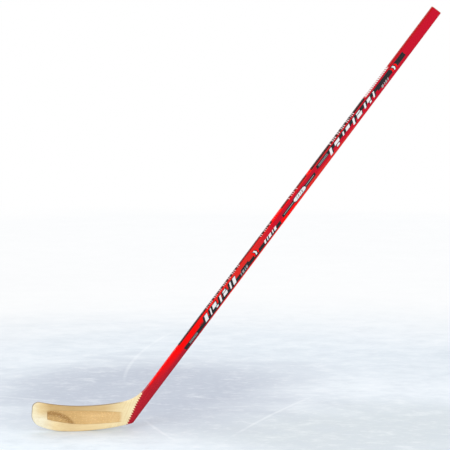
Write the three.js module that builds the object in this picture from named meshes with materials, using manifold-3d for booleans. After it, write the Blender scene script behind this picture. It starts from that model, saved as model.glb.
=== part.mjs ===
// Ice hockey stick for a left-handed player: a laminated wooden shaft with glass-cloth faces,
// and a curved wooden blade whose tenon is glued into a slot in the shaft's foot.
// Millimetres, +Z up. The blade lies along X with its toe towards -X, and its thickness is along Y.
// The front, -Y, is the convex backhand face. The origin is on the shaft's centre line, where the
// top hand holds it, with the stick in its playing pose and the sole level on the ice.
import * as THREE from 'three';
import { mergeVertices } from 'three/addons/utils/BufferGeometryUtils.js';
import Module from 'manifold-3d';

// Shaft
const shaftWidth = 30;
const shaftThickness = 19;
const shaftEdgeRadius = 3;
const shaftLean = 52.12; // degrees between the ice and the shaft
const shaftFoot = 134.6; // from the blade's rest point to where the shaft's axis meets the ice
const axisLength = 1526; // along the axis, from the ice to the butt end
const gripFromButt = 60; // middle of the top hand
const buttChamfer = 0.8;
const heelThickness = 15.5; // the shaft's foot is planed thinner than its upper part
const planedFrom = 165; // the planed foot begins to thicken here, along the axis from the ice
const planedTo = 345; // and has the full thickness here
const plyCount = 12;
const faceGlassThickness = 0.5;

// Joints between glued pieces
const glueLine = 0.3;

// Slot in the shaft's foot, and the blade's tenon in it
const slotPlies = 6;
const slotTop = 205; // along the axis from the ice

// Blade outline, with X measured from the rest point on the ice
const toeReach = 124.8;
const toeRadius = 34;
const toeSweepRadius = 200; // the sole rises to the toe on this arc
const toeSweepAt = -27; // whose centre is over this place
const toeLean = 3.5; // degrees that the toe's edge leans back
const toeCornerRadius = 18;
const rockerRadius = 780;
const restLength = 18; // level stretch of the sole
const waistHeight = 73.5; // the blade's lowest height, and where it is
const waistAt = 37.7;
const topRadius = 740;
const heelBlendStart = 164; // the top edge sweeps up into the shaft from here
const heelBlendRise = 26; // and ends this far up the shaft's edge
const heelCornerRadius = 12;

// Blade thickness, curve and twist
const toeThickness = 4.6;
const bladeEdgeRadius = 1.8;
const toeEdgeRadius = 3;
const tenonThicknessFrom = 108; // the blade has the tenon's thickness from here to the shaft
const curveStart = 32; // the blade is straight from the shaft to here
const curveDepth = 25; // set-back of the toe
const faceTwist = 4; // degrees that the toe's face opens

// Blade pieces
const toeSeamAt = -81.6;
const topSeamHeight = 61.7; // the seam under the top rail is an arc, highest here
const topSeamHighAt = -60;
const topSeamRadius = 1900;
const soleRailHeight = 18.8;
const soleRailLowAt = 42; // the seam above the sole rail is lowest here
const soleSeamToeRadius = 470; // from there towards the toe
const soleSeamHeelRadius = 1100; // and towards the heel
const clothThickness = 0.4;
const clothInset = 2.4;
const cheekLength = 45; // square to the shaft, from its edge to the cheek's thin end
const cheekEndThickness = 0.5;

// Finish colours
const paintRed = 0xb8202f;
const paintBright = 0xe51a14;
const paleWood = 0xf3e0b4;
const tanWood = 0xdcb983;
const railWood = 0xead0a0;
const glassCloth = 0xf1dcb0;

const wasm = await Module();
wasm.setup();

// Values worked out from the sizes above
const lean = THREE.MathUtils.degToRad(shaftLean);
const along = new THREE.Vector2(Math.cos(lean), Math.sin(lean));
const across = new THREE.Vector2(Math.sin(lean), -Math.cos(lean));
const tanTwist = Math.tan(THREE.MathUtils.degToRad(faceTwist));
const halfWidth = shaftWidth / 2;
const coverDepth = faceGlassThickness + glueLine;
const woodThickness = shaftThickness - 2 * coverDepth;
const plyThickness = woodThickness / plyCount;
const firstSlotPly = Math.round((plyCount - slotPlies) / 2);
const tenonThickness = slotPlies * plyThickness - 2 * glueLine;
const rockerDrop = rockerRadius - Math.sqrt(rockerRadius ** 2 - (restLength / 2) ** 2);
const rockerCentre = new THREE.Vector2(0, rockerRadius - rockerDrop);
const sweepToRocker = rockerRadius - toeSweepRadius;
const sweepDrop = Math.sqrt(sweepToRocker ** 2 - toeSweepAt ** 2);
const toeSweepCentre = new THREE.Vector2(toeSweepAt, rockerCentre.y - sweepDrop);
const toeSweepEnd = (toeSweepAt * rockerRadius) / sweepToRocker;
const toeToSweep = toeSweepRadius - toeRadius;
const toeRun = toeRadius - toeReach - toeSweepAt;
const toeDrop = Math.sqrt(toeToSweep ** 2 - toeRun ** 2);
const toeCentre = new THREE.Vector2(toeRadius - toeReach, toeSweepCentre.y - toeDrop);
const toeArcEnd = toeCentre.x + (toeRun * toeRadius) / toeToSweep;
const toeEdgeLean = THREE.MathUtils.degToRad(toeLean);
const toeEdgeStart = new THREE.Vector2(-Math.cos(toeEdgeLean), Math.sin(toeEdgeLean))
  .multiplyScalar(toeRadius)
  .add(toeCentre);
const flush = 0.05; // keeps two surfaces that meet from lying in one plane
const overlap = 1; // joins two blocks that make one piece
const belowFoot = -30; // the uncut shaft and tenon start here, along the axis from the ice
const stationStep = 12;
const reach = 400; // half size of a cutting block that only has to be larger than the blade
const farUp = 1.2 * axisLength; // past the butt end

// How far a place on the blade's plane lies in front of the shaft's front edge
function beyondShaftEdge(x, z) {
  return -halfWidth - ((x - shaftFoot) * across.x + z * across.y);
}

// A point on the line that the shaft's front or back edge draws, on the blade's plane
function onShaftEdge(side, distance) {
  const start = new THREE.Vector2(shaftFoot, 0).addScaledVector(across, side * halfWidth);
  return start.addScaledVector(along, distance);
}

// Outline of the blade
function arcHeight(centre, radius, x) {
  return Math.sqrt(Math.max(0, radius ** 2 - (x - centre.x) ** 2));
}

function soleHeight(x) {
  if (x < toeArcEnd) {
    return toeCentre.y - arcHeight(toeCentre, toeRadius, x);
  }
  if (x < toeSweepEnd) {
    return toeSweepCentre.y - arcHeight(toeSweepCentre, toeSweepRadius, x);
  }
  return Math.max(0, rockerCentre.y - arcHeight(rockerCentre, rockerRadius, x));
}

// The toe's top corner is an arc that touches the toe's edge and the top edge
function toeCorner() {
  const topCentre = new THREE.Vector2(waistAt, waistHeight + topRadius);
  const up = new THREE.Vector2(Math.sin(toeEdgeLean), Math.cos(toeEdgeLean));
  const inward = new THREE.Vector2(up.y, -up.x);
  const inner = toeEdgeStart.clone().addScaledVector(inward, toeCornerRadius);
  const fromTop = inner.clone().sub(topCentre);
  const halfTerm = fromTop.dot(up);
  const rest = fromTop.lengthSq() - (topRadius + toeCornerRadius) ** 2;
  const centre = inner.addScaledVector(up, -halfTerm - Math.sqrt(halfTerm ** 2 - rest));
  const start = centre.clone().addScaledVector(inward, -toeCornerRadius);
  const end = centre.clone().lerp(topCentre, toeCornerRadius / (topRadius + toeCornerRadius));
  return { centre, start, end };
}

const corner = toeCorner();

function toeEdgeHeight(x) {
  if (x < toeEdgeStart.x) {
    return toeCentre.y + arcHeight(toeCentre, toeRadius, x);
  }
  if (x < corner.start.x) {
    return toeEdgeStart.y + (x - toeEdgeStart.x) / Math.tan(toeEdgeLean);
  }
  return corner.centre.y + arcHeight(corner.centre, toeCornerRadius, x);
}

function topArc(x) {
  return waistHeight + topRadius - Math.sqrt(topRadius ** 2 - (x - waistAt) ** 2);
}

// The sweep into the shaft is tangent to the top arc where it starts and to the shaft's edge
function heelSweep() {
  const start = new THREE.Vector2(heelBlendStart, topArc(heelBlendStart));
  const run = heelBlendStart - waistAt;
  const slope = run / Math.sqrt(topRadius ** 2 - run ** 2);
  const foot = onShaftEdge(-1, 0);
  const distance = (start.y - slope * (start.x - foot.x)) / (along.y - slope * along.x);
  const corner = foot.clone().addScaledVector(along, distance);
  const end = corner.clone().addScaledVector(along, heelBlendRise);
  return { start, corner, end };
}

const sweep = heelSweep();

function topHeight(x) {
  if (x < sweep.start.x) {
    return x < corner.end.x ? toeEdgeHeight(x) : topArc(x);
  }
  if (x >= sweep.end.x) {
    return sweep.end.y + (x - sweep.end.x) * Math.tan(lean);
  }
  const a = sweep.start.x - 2 * sweep.corner.x + sweep.end.x;
  const b = 2 * (sweep.corner.x - sweep.start.x);
  const c = sweep.start.x - x;
  const t = (2 * -c) / (b + Math.sqrt(b * b - 4 * a * c));
  return (1 - t) ** 2 * sweep.start.y + 2 * t * (1 - t) * sweep.corner.y + t * t * sweep.end.y;
}

// Middle of the blade's thickness: a curve that grows towards the toe, with an open twist
function middle(x, z) {
  const bend = Math.max(0, curveStart - x) / (curveStart + toeReach);
  return curveDepth * bend * bend - tanTwist * (z - waistHeight / 2) * bend;
}

function bladeHalf(x) {
  const share = THREE.MathUtils.clamp((x + toeReach) / (tenonThicknessFrom + toeReach), 0, 1);
  const half = THREE.MathUtils.lerp(toeThickness, tenonThickness, share) / 2;
  const fromTip = Math.min(x + toeReach, toeEdgeRadius) / toeEdgeRadius;
  return half * Math.sqrt(1 - (1 - fromTip) ** 2);
}

// Half thickness of the heel, which thins from the shaft's foot to the cheek's thin end
function heelHalf(x, z) {
  const thick = heelThickness / 2 - flush;
  const thin = bladeHalf(x) + glueLine + cheekEndThickness;
  const share = THREE.MathUtils.clamp(beyondShaftEdge(x, z) / cheekLength, 0, 1);
  return thin + ((thick - thin) * (1 + Math.cos(Math.PI * share))) / 2;
}

// Stations along the blade, close together round the toe
function stationsFrom(first, last, step) {
  const count = Math.max(1, Math.ceil((last - first) / step));
  return Array.from({ length: count + 1 }, (_, i) => first + ((last - first) * i) / count);
}

const toeSteps = [0.1, 0.5, 4, 6.5, 9.5, 16, 22, 30, 37];
const edgeStations = [toeEdgeStart.x, corner.start.x, corner.end.x];
const toeStations = toeSteps.map((step) => step - toeReach).concat(edgeStations);
toeStations.sort((a, b) => a - b);
const restStations = [-restLength / 2, restLength / 2];
const bladeEnd = sweep.end.x + stationStep;
const bladeStations = [
  ...toeStations,
  ...stationsFrom(toeSeamAt, restStations[0], stationStep),
  ...stationsFrom(restStations[1], curveStart, stationStep),
  ...stationsFrom(curveStart, sweep.start.x, 1.5 * stationStep).slice(1),
  ...stationsFrom(sweep.start.x, bladeEnd, 0.75 * stationStep).slice(1),
];

// One closed ring of a blade section, up the front face and down the back face
function ring(x, levels) {
  const front = levels.map(({ z, half }) => new THREE.Vector3(x, middle(x, z) - half, z));
  const back = levels.map(({ z, half }) => new THREE.Vector3(x, middle(x, z) + half, z));
  return [...front, ...back.reverse()];
}

// Section levels with both edges rounded, whose half thickness comes from a function of height
function roundedLevels(x, halfAt, innerCount) {
  const low = soleHeight(x);
  const high = topHeight(x);
  const radius = Math.min(bladeEdgeRadius, 0.7 * bladeHalf(x), 0.3 * (high - low));
  const turns = [
    { rise: 0, cut: radius },
    { rise: 0.293 * radius, cut: 0.293 * radius },
    { rise: radius, cut: 0 },
  ];
  const lower = turns.map(({ rise, cut }) => ({ z: low + rise, cut }));
  const upper = turns.map(({ rise, cut }) => ({ z: high - rise, cut })).reverse();
  const span = high - low - 2 * radius;
  const inner = Array.from({ length: innerCount }, (_, i) => ({
    z: low + radius + (span * (i + 1)) / (innerCount + 1),
    cut: 0,
  }));
  return [...lower, ...inner, ...upper].map(({ z, cut }) => ({ z, half: halfAt(x, z) - cut }));
}

// A closed body through rings of equal, even point counts, faces outward. Each end is closed by
// a ladder between the first and the second half of its ring.
function loft(rings) {
  const count = rings[0].length;
  const points = rings.flat();
  const triangles = [];
  for (let i = 0; i + 1 < rings.length; i += 1) {
    for (let j = 0; j < count; j += 1) {
      const a = i * count + j;
      const b = i * count + ((j + 1) % count);
      triangles.push([a, b, b + count], [a, b + count, a + count]);
    }
  }
  const last = (rings.length - 1) * count;
  for (let j = 0; j + 1 < count / 2; j += 1) {
    const [a, b, c, d] = [j, j + 1, count - 2 - j, count - 1 - j];
    triangles.push([a, c, b], [a, d, c]);
    triangles.push([last + a, last + b, last + c], [last + a, last + c, last + d]);
  }
  const volume = triangles.reduce((sum, [a, b, c]) => {
    const normal = new THREE.Vector3().crossVectors(points[b], points[c]);
    return sum + points[a].dot(normal);
  }, 0);
  const index = triangles.flatMap(([a, b, c]) => (volume > 0 ? [a, b, c] : [a, c, b]));
  const geometry = new THREE.BufferGeometry().setFromPoints(points);
  geometry.setIndex(index);
  return geometry;
}

function loftAlongBlade(stations, levelsAt) {
  return loft(stations.map((x) => ring(x, levelsAt(x))));
}

// Solids for cutting and joining
function solid(geometry) {
  const bare = geometry.clone();
  bare.deleteAttribute('normal');
  bare.deleteAttribute('uv');
  const merged = mergeVertices(bare);
  const vertProperties = new Float32Array(merged.getAttribute('position').array);
  const triVerts = new Uint32Array(merged.getIndex().array);
  return new wasm.Manifold(new wasm.Mesh({ numProp: 3, vertProperties, triVerts }));
}

function toGeometry(body) {
  const { vertProperties, triVerts } = body.getMesh();
  const geometry = new THREE.BufferGeometry();
  geometry.setAttribute('position', new THREE.BufferAttribute(new Float32Array(vertProperties), 3));
  geometry.setIndex(new THREE.BufferAttribute(new Uint32Array(triVerts), 1));
  geometry.computeVertexNormals();
  return geometry;
}

function blockGeometry(from, to) {
  const size = new THREE.Vector3().subVectors(to, from);
  const centre = new THREE.Vector3().addVectors(from, to).multiplyScalar(0.5);
  return new THREE.BoxGeometry(size.x, size.y, size.z).translate(centre.x, centre.y, centre.z);
}

function block(x0, x1, y0, y1, z0, z1) {
  return solid(blockGeometry(new THREE.Vector3(x0, y0, z0), new THREE.Vector3(x1, y1, z1)));
}

// A prism across the blade's plane, from an outline of X and Z points
function prismGeometry(outline) {
  const shape = new THREE.Shape(outline);
  const geometry = new THREE.ExtrudeGeometry(shape, { depth: 2 * reach, bevelEnabled: false });
  return geometry.rotateX(Math.PI / 2).translate(0, reach, 0);
}

// The shaft's own frame: X across its width, Y its thickness, Z along the axis from the ice
const shaft = new THREE.Group();
shaft.position.set(shaftFoot, 0, 0);
shaft.rotation.y = Math.PI / 2 - lean;
shaft.updateMatrix();
const toShaftFrame = shaft.matrix.clone().invert();

function shaftBlockInBladeFrame(x0, x1, z0, z1) {
  const from = new THREE.Vector3(x0, -reach, z0);
  const to = new THREE.Vector3(x1, reach, z1);
  return solid(blockGeometry(from, to).applyMatrix4(shaft.matrix));
}

// A rounded rectangle across the shaft, drawn in by the inset
function shaftRing(z, thickness, inset) {
  const steps = 4;
  const corners = [
    { x: 1, y: 1, turn: 0 },
    { x: -1, y: 1, turn: 1 },
    { x: -1, y: -1, turn: 2 },
    { x: 1, y: -1, turn: 3 },
  ];
  return corners.flatMap(({ x, y, turn }) =>
    Array.from({ length: steps + 1 }, (_, i) => {
      const angle = ((turn + i / steps) * Math.PI) / 2;
      const centreX = x * (halfWidth - inset - shaftEdgeRadius);
      const centreY = y * (thickness / 2 - inset - shaftEdgeRadius);
      const pointX = centreX + shaftEdgeRadius * Math.cos(angle);
      const pointY = centreY + shaftEdgeRadius * Math.sin(angle);
      return new THREE.Vector3(pointX, pointY, z);
    }),
  );
}

const thicknessStations = [
  [belowFoot, heelThickness],
  [planedFrom, heelThickness],
  [planedTo, shaftThickness],
  [axisLength, shaftThickness],
];

function shaftBody() {
  const rings = thicknessStations.slice(0, -1).map(([z, thickness]) => shaftRing(z, thickness, 0));
  const chamferStart = shaftRing(axisLength - buttChamfer, shaftThickness, 0);
  const buttEnd = shaftRing(axisLength, shaftThickness, buttChamfer);
  return solid(loft([...rings, chamferStart, buttEnd]));
}

// Everything between two depths under both wide faces, following the planed foot
function depthBand(inner, outer) {
  const below = ([z, thickness], depth) => new THREE.Vector2(z, thickness / 2 - depth);
  const near = thicknessStations.map((station) => below(station, outer));
  const far = thicknessStations.map((station) => below(station, inner)).reverse();
  const ends = new THREE.Shape([...near, ...far]);
  const settings = { depth: 2 * shaftWidth, bevelEnabled: false };
  return new THREE.ExtrudeGeometry(ends, settings).rotateY(-Math.PI / 2).translate(shaftWidth, 0, 0);
}

// The heel's rounded corner joins the sole to the shaft's back edge
function heelCornerArc() {
  const edgeStart = onShaftEdge(1, 0).addScaledVector(across, flush);
  const inner = edgeStart.clone().addScaledVector(across, -heelCornerRadius);
  const fromRocker = inner.clone().sub(rockerCentre);
  const halfTerm = fromRocker.dot(along);
  const rest = fromRocker.lengthSq() - (rockerRadius - heelCornerRadius) ** 2;
  const distance = -halfTerm - Math.sqrt(halfTerm ** 2 - rest);
  const centre = inner.clone().addScaledVector(along, distance);
  const startAngle = Math.atan2(centre.y - rockerCentre.y, centre.x - rockerCentre.x);
  const endAngle = Math.atan2(across.y, across.x);
  const steps = 8;
  return Array.from({ length: steps + 1 }, (_, i) => {
    const angle = THREE.MathUtils.lerp(startAngle, endAngle, i / steps);
    const x = centre.x + heelCornerRadius * Math.cos(angle);
    const z = centre.y + heelCornerRadius * Math.sin(angle);
    return new THREE.Vector2(x, z);
  });
}

// Everything above the sole and inside the heel's corner
function footOutline() {
  const heelCorner = heelCornerArc();
  const stations = stationsFrom(curveStart, heelCorner[0].x - stationStep / 2, stationStep);
  const sole = stations.map((x) => new THREE.Vector2(x, soleHeight(x)));
  const outside = heelCorner.at(-1).clone().addScaledVector(along, farUp);
  const above = outside.clone().addScaledVector(across, -reach);
  return [...sole, ...heelCorner, outside, above];
}

// The shaft's foot follows that outline with rounded edges, and the shaft goes on above it
function footTrim() {
  const width = heelThickness + 2 * flush;
  const round = bladeEdgeRadius;
  const settings = {
    depth: width - 2 * round,
    bevelThickness: round,
    bevelSize: round,
    bevelOffset: -round,
    bevelSegments: 2,
  };
  const foot = new THREE.ExtrudeGeometry(new THREE.Shape(footOutline()), settings)
    .rotateX(Math.PI / 2)
    .translate(0, width / 2 - round, 0);
  return solid(foot).add(shaftBlockInBladeFrame(-reach, reach, planedFrom, farUp));
}

// The heel's full thickness: sole to top edge, thinning away from the shaft
function heelBody() {
  const stations = bladeStations.filter((x) => x >= curveStart);
  return solid(loftAlongBlade(stations, (x) => roundedLevels(x, heelHalf, 7)));
}

function inShaftFrame(body) {
  return solid(toGeometry(body).applyMatrix4(toShaftFrame));
}

// Shaft pieces, in the shaft's frame
const heelStripEnd = -halfWidth + shaftEdgeRadius + overlap;
const trimmedShaft = shaftBody().intersect(inShaftFrame(footTrim()));
const heelInShaft = heelBody()
  .intersect(shaftBlockInBladeFrame(-halfWidth, heelStripEnd, -reach, reach));
const shaftBlank = trimmedShaft.add(inShaftFrame(heelInShaft));

function frontAndBack(geometry) {
  const back = solid(geometry);
  const front = solid(geometry.clone().applyMatrix4(new THREE.Matrix4().makeRotationZ(Math.PI)));
  return { back, front };
}

const glassBands = frontAndBack(depthBand(faceGlassThickness, -1));
const coverBands = frontAndBack(depthBand(coverDepth, -1));
const plyBlank = shaftBlank.subtract(coverBands.back).subtract(coverBands.front);

function plyBody(index) {
  const low = -woodThickness / 2 + index * plyThickness;
  const inSlot = index >= firstSlotPly && index < firstSlotPly + slotPlies;
  const from = inSlot ? slotTop : -reach;
  return plyBlank.intersect(block(-reach, reach, low, low + plyThickness, from, farUp));
}

// Blade pieces, in the blade's frame
const bladeBody = solid(loftAlongBlade(bladeStations, (x) => roundedLevels(x, bladeHalf, 0)));
const onBladeSide = shaftBlockInBladeFrame(-reach, -halfWidth - glueLine, -reach, reach);
const joinedToTenon = shaftBlockInBladeFrame(-reach, -halfWidth + overlap, -reach, reach);

// The seams along the blade: one under the top rail, and one over the sole rail that rises
// towards the toe and the heel
const seamStations = stationsFrom(toeSeamAt - stationStep, sweep.end.x, stationStep);

function topSeam(shift) {
  const centre = new THREE.Vector2(topSeamHighAt, topSeamHeight - topSeamRadius + shift);
  const height = (x) => centre.y + arcHeight(centre, topSeamRadius, x);
  return seamStations.map((x) => new THREE.Vector2(x, height(x)));
}

function soleSeam(shift) {
  const lowest = soleHeight(soleRailLowAt) + soleRailHeight + shift;
  const height = (x) => {
    const radius = x < soleRailLowAt ? soleSeamToeRadius : soleSeamHeelRadius;
    const centre = new THREE.Vector2(soleRailLowAt, lowest + radius);
    return centre.y - arcHeight(centre, radius, x);
  };
  return seamStations.map((x) => new THREE.Vector2(x, height(x)));
}

// Everything on one side of a seam, up or down to a height
function seamSide(seam, height) {
  const ends = [new THREE.Vector2(reach, height), new THREE.Vector2(-reach, height)];
  return solid(prismGeometry([...seam, ...ends]));
}

const behindToe = block(toeSeamAt, reach, -reach, reach, -reach, reach);
const toeSide = block(-reach, toeSeamAt, -reach, reach, -reach, reach);

function tenonBody() {
  const half = tenonThickness / 2;
  const from = new THREE.Vector3(-halfWidth, -half, belowFoot);
  const to = new THREE.Vector3(halfWidth, half, slotTop - glueLine);
  const strip = solid(blockGeometry(from, to).applyMatrix4(shaft.matrix));
  return strip.intersect(solid(prismGeometry(footOutline())));
}

const bladeBehindToe = bladeBody.intersect(behindToe);

function coreBody() {
  const panel = bladeBehindToe
    .intersect(seamSide(topSeam(0), -reach))
    .intersect(seamSide(soleSeam(0), reach))
    .intersect(joinedToTenon);
  return panel.add(tenonBody());
}

// A heel cheek lies against the blade's face and the edge of the shaft
function cheekBody(side) {
  const clear = (x) => roundedLevels(x, bladeHalf, 0).map(({ z }, i, all) => ({
    z: z + (i === all.length - 1 ? stationStep : 0) - (i === 0 ? stationStep : 0),
    half: bladeHalf(x) + glueLine,
  }));
  const stations = bladeStations.filter((x) => x >= curveStart);
  const inside = solid(loftAlongBlade(stations, clear));
  const onSide = block(-reach, reach, Math.min(0, side * reach), Math.max(0, side * reach), -reach, reach);
  const zone = shaftBlockInBladeFrame(-halfWidth - cheekLength, -halfWidth - glueLine, -reach, reach);
  return heelBody().intersect(zone).intersect(onSide).subtract(inside);
}

// A sheet of glass cloth on one face of the blade
function clothBody(side) {
  const first = toeEdgeRadius + overlap;
  const stations = bladeStations.filter((x) => x >= first - toeReach && x <= sweep.start.x);
  const rings = stations.map((x) => {
    const low = soleHeight(x) + clothInset;
    const high = topHeight(x) - clothInset;
    const near = side * (bladeHalf(x) + glueLine);
    const far = side * (bladeHalf(x) + glueLine + clothThickness);
    return [
      new THREE.Vector3(x, middle(x, low) + near, low),
      new THREE.Vector3(x, middle(x, high) + near, high),
      new THREE.Vector3(x, middle(x, high) + far, high),
      new THREE.Vector3(x, middle(x, low) + far, low),
    ];
  });
  const sheet = solid(loft(rings));
  const zone = shaftBlockInBladeFrame(-reach, -halfWidth - cheekLength - glueLine, -reach, reach);
  return sheet.intersect(zone);
}

// Named meshes
function addPiece(group, name, body, color, roughness) {
  const material = new THREE.MeshStandardMaterial({ color, roughness, metalness: 0 });
  const mesh = new THREE.Mesh(toGeometry(body), material);
  mesh.name = name;
  group.add(mesh);
}

for (let i = 0; i < plyCount; i += 1) {
  const number = String(i + 1).padStart(2, '0');
  addPiece(shaft, `shaft_ply_${number}`, plyBody(i), paintBright, 0.35);
}
addPiece(shaft, 'shaft_glass_front', shaftBlank.intersect(glassBands.front), paintRed, 0.3);
addPiece(shaft, 'shaft_glass_back', shaftBlank.intersect(glassBands.back), paintRed, 0.3);

const blade = new THREE.Group();
const railBlank = bladeBehindToe.intersect(onBladeSide);
const overTopSeam = seamSide(topSeam(glueLine), reach);
const underSoleSeam = seamSide(soleSeam(-glueLine), -reach);
addPiece(blade, 'blade_core', coreBody(), tanWood, 0.5);
addPiece(blade, 'blade_top_rail', railBlank.intersect(overTopSeam), railWood, 0.5);
addPiece(blade, 'blade_sole_rail', railBlank.intersect(underSoleSeam), railWood, 0.5);
addPiece(blade, 'blade_toe_block', bladeBody.intersect(toeSide), paleWood, 0.5);
addPiece(blade, 'heel_cheek_front', cheekBody(-1), paleWood, 0.4);
addPiece(blade, 'heel_cheek_back', cheekBody(1), paleWood, 0.4);
addPiece(blade, 'blade_cloth_front', clothBody(-1), glassCloth, 0.3);
addPiece(blade, 'blade_cloth_back', clothBody(1), glassCloth, 0.3);

// The origin is the middle of the top hand's grip
const grip = new THREE.Vector2(shaftFoot, 0).addScaledVector(along, axisLength - gripFromButt);
const stick = new THREE.Group();
stick.position.set(-grip.x, 0, -grip.y);
stick.add(shaft, blade);

export default stick;
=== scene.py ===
import math

import bpy
import numpy as np
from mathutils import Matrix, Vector


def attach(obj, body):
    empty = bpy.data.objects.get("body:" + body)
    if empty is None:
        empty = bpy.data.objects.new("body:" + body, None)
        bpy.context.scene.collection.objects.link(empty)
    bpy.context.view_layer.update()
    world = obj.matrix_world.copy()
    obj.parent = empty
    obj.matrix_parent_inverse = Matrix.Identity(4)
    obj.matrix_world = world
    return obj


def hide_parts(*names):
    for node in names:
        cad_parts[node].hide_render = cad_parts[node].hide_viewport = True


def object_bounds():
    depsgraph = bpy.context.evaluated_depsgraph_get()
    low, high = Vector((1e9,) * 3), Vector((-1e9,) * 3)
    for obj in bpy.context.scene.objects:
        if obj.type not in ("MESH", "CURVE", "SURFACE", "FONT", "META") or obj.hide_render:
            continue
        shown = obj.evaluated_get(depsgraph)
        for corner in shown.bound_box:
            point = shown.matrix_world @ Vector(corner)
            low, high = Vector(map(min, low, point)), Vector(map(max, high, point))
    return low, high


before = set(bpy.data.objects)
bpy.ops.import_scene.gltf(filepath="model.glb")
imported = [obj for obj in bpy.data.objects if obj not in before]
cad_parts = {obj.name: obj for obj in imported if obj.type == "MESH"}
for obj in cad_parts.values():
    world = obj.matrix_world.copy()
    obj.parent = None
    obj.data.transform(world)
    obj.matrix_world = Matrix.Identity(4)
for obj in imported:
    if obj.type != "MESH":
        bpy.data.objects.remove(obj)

# Ice hockey stick: the lacquered blade, the painted shaft, its prints and its finishes, built
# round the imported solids. Sizes are millimetres in "stick places": X along the ice from the
# blade's rest point towards the heel, Y through the thickness with the front at -Y, Z up from
# the ice. Along the shaft, "along" is the distance from the ice and "across" is the distance
# from the shaft's middle line, with the upper edge negative.

bl_info = {
    "name": "Ice hockey stick",
    "version": (1, 0, 0),
    "blender": (4, 5, 0),
    "location": "3D View > Sidebar > Stick",
    "description": "Dresses the packed solids of a wooden ice hockey stick",
    "category": "Object",
}

CAD_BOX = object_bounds()
GRIP_X = 1034.7382501
GRIP_Z = 1157.1115464

# Sizes that the solids were made from
SHAFT_LEAN = math.radians(52.12)
ALONG = (math.cos(SHAFT_LEAN), math.sin(SHAFT_LEAN))
ACROSS = (math.sin(SHAFT_LEAN), -math.cos(SHAFT_LEAN))
SHAFT_FOOT = 134.6
SHAFT_HALF_WIDTH = 15.0
SHAFT_THICKNESS = 19.0
HEEL_THICKNESS = 15.5
PLANED_FROM, PLANED_TO = 165.0, 345.0
SHAFT_EDGE_RADIUS = 3.0
AXIS_LENGTH = 1526.0
BUTT_CHAMFER = 0.8
PLY_THICKNESS = 1.45
TOE_REACH = 124.8
TOE_RADIUS = 34.0
SWEEP_RADIUS, SWEEP_AT = 200.0, -27.0
TOE_LEAN = math.radians(3.5)
TOE_CORNER_RADIUS = 18.0
ROCKER_RADIUS = 780.0
REST_LENGTH = 18.0
WAIST_HEIGHT, WAIST_AT = 73.5, 37.7
TOP_RADIUS = 740.0
# The coat's sweep into the shaft is a little longer and fuller than the solids' sweep
HEEL_BLEND_START = 140.0
HEEL_BLEND_RISE = 45.0
HEEL_CORNER_RADIUS, CORNER_CLEARANCE = 12.0, 0.05
TOE_THICKNESS = 4.6
TENON_THICKNESS = 8.1
TENON_FROM = 108.0
BLADE_EDGE_RADIUS = 1.8
CURVE_START = 32.0
CURVE_DEPTH = 25.0
TAN_TWIST = math.tan(math.radians(4.0))
CHEEK_LENGTH = 45.0
TOE_SEAM_AT = -81.6
TOP_SEAM_HIGH = (-60.0, 61.7)
TOP_SEAM_RADIUS = 1900.0
SOLE_SEAM_LOW = (42.0, 19.9)
SOLE_SEAM_TOE_RADIUS = 470.0
SOLE_SEAM_HEEL_RADIUS = 1100.0

# Edge of the paint on the heel, from the sole to the shaft's upper edge
PAINT_EDGE_FOOT = (150.3, 14.8)
PAINT_EDGE_ANGLE = math.radians(65.4)

# Coats: where the blade's and the shaft's coats meet, where the blade's sections begin to
# fan out, and what the inner wall keeps of the edge coat, the paint and the lacquer
COAT_JOINT_SHIFT = 9.1
COAT_JOINT_ALONG = 153.0
FAN_START = 108.0
INNER_SHARES = (0.3, 0.3, 0.6)
# Rounding of the edges: where along the shaft it grows to the shaft's, on the upper and on the
# lower edge, and where before that the upper edge grows sharper
UPPER_ROUNDING, LOWER_ROUNDING, SHARP_STRETCH = (152, 178), (42, 70), (84, 108)
SHARP_RADIUS = 0.9
# The toe's points move forward by the edge coat over a short run, and half of the coated
# thickness is never under the least
TOE_COAT_FROM, TOE_COAT_RUN = -105, 12
LEAST_HALF = 0.4
# Steps of a ring round an edge and across a face, the width of its edge band by the rounding's
# radius, and the most of the ring's height that the band may take
ARC_STEPS, FACE_STEPS = 5, 16
EDGE_BAND, BAND_LIMIT = 1.12, 0.3
# Where the toe's dense stations end, where the heel's lower corner is passed, how far past the
# planed part's start the sections stand square, and how far before the butt the paint ends
DENSE_END, HEEL_PASSED, SQUARE_AFTER, BUTT_GAP = -90, 48, 7, 0.3

# Prints: bars given by where each starts, how wide it is, and its upper and lower end
LOWER_BARS = [(402, 13, -7.2, 8.4), (428, 5, -7.2, 8.4), (442, 17, -7.2, 2.8), (450, 9, 4.6, 8.4),
              (474, 7, -7.2, 8.4), (490, 17, -1.4, 6.0), (494, 13, -7.2, -3.2),
              (522, 6, -7.2, 8.4), (537, 12, -7.2, 8.4)]
UPPER_BARS = [(1007, 10, -7.2, 7.8), (1034, 22, -7.2, 0.2), (1035, 12, 2.6, 7.2),
              (1072, 6, -7.2, 1.6), (1088, 17, -7.2, 1.0), (1118, 8, -7.2, 7.8),
              (1136, 22, -1.6, 6.6), (1140, 17, -7.2, -3.6), (1174, 7, -7.2, 5.2),
              (1190, 15, -7.2, 1.2), (1193, 8, 3.2, 7.6), (1216, 6, -7.2, 6.4)]
BAR_LEAN, MARK_LEAN = 0.7, 0.5
# Dark backing of the bars that reach past a band: how much larger it is before, behind, above
# and below the bar, and the side of the band that it stops at
LOWER_BACKING, LOWER_BAND_TOP = (5, 4, 1.6, 1.5), 1.9
UPPER_BACKING, UPPER_BAND_FOOT = (2, 2, 1.2, 0.8), 0.6
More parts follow.
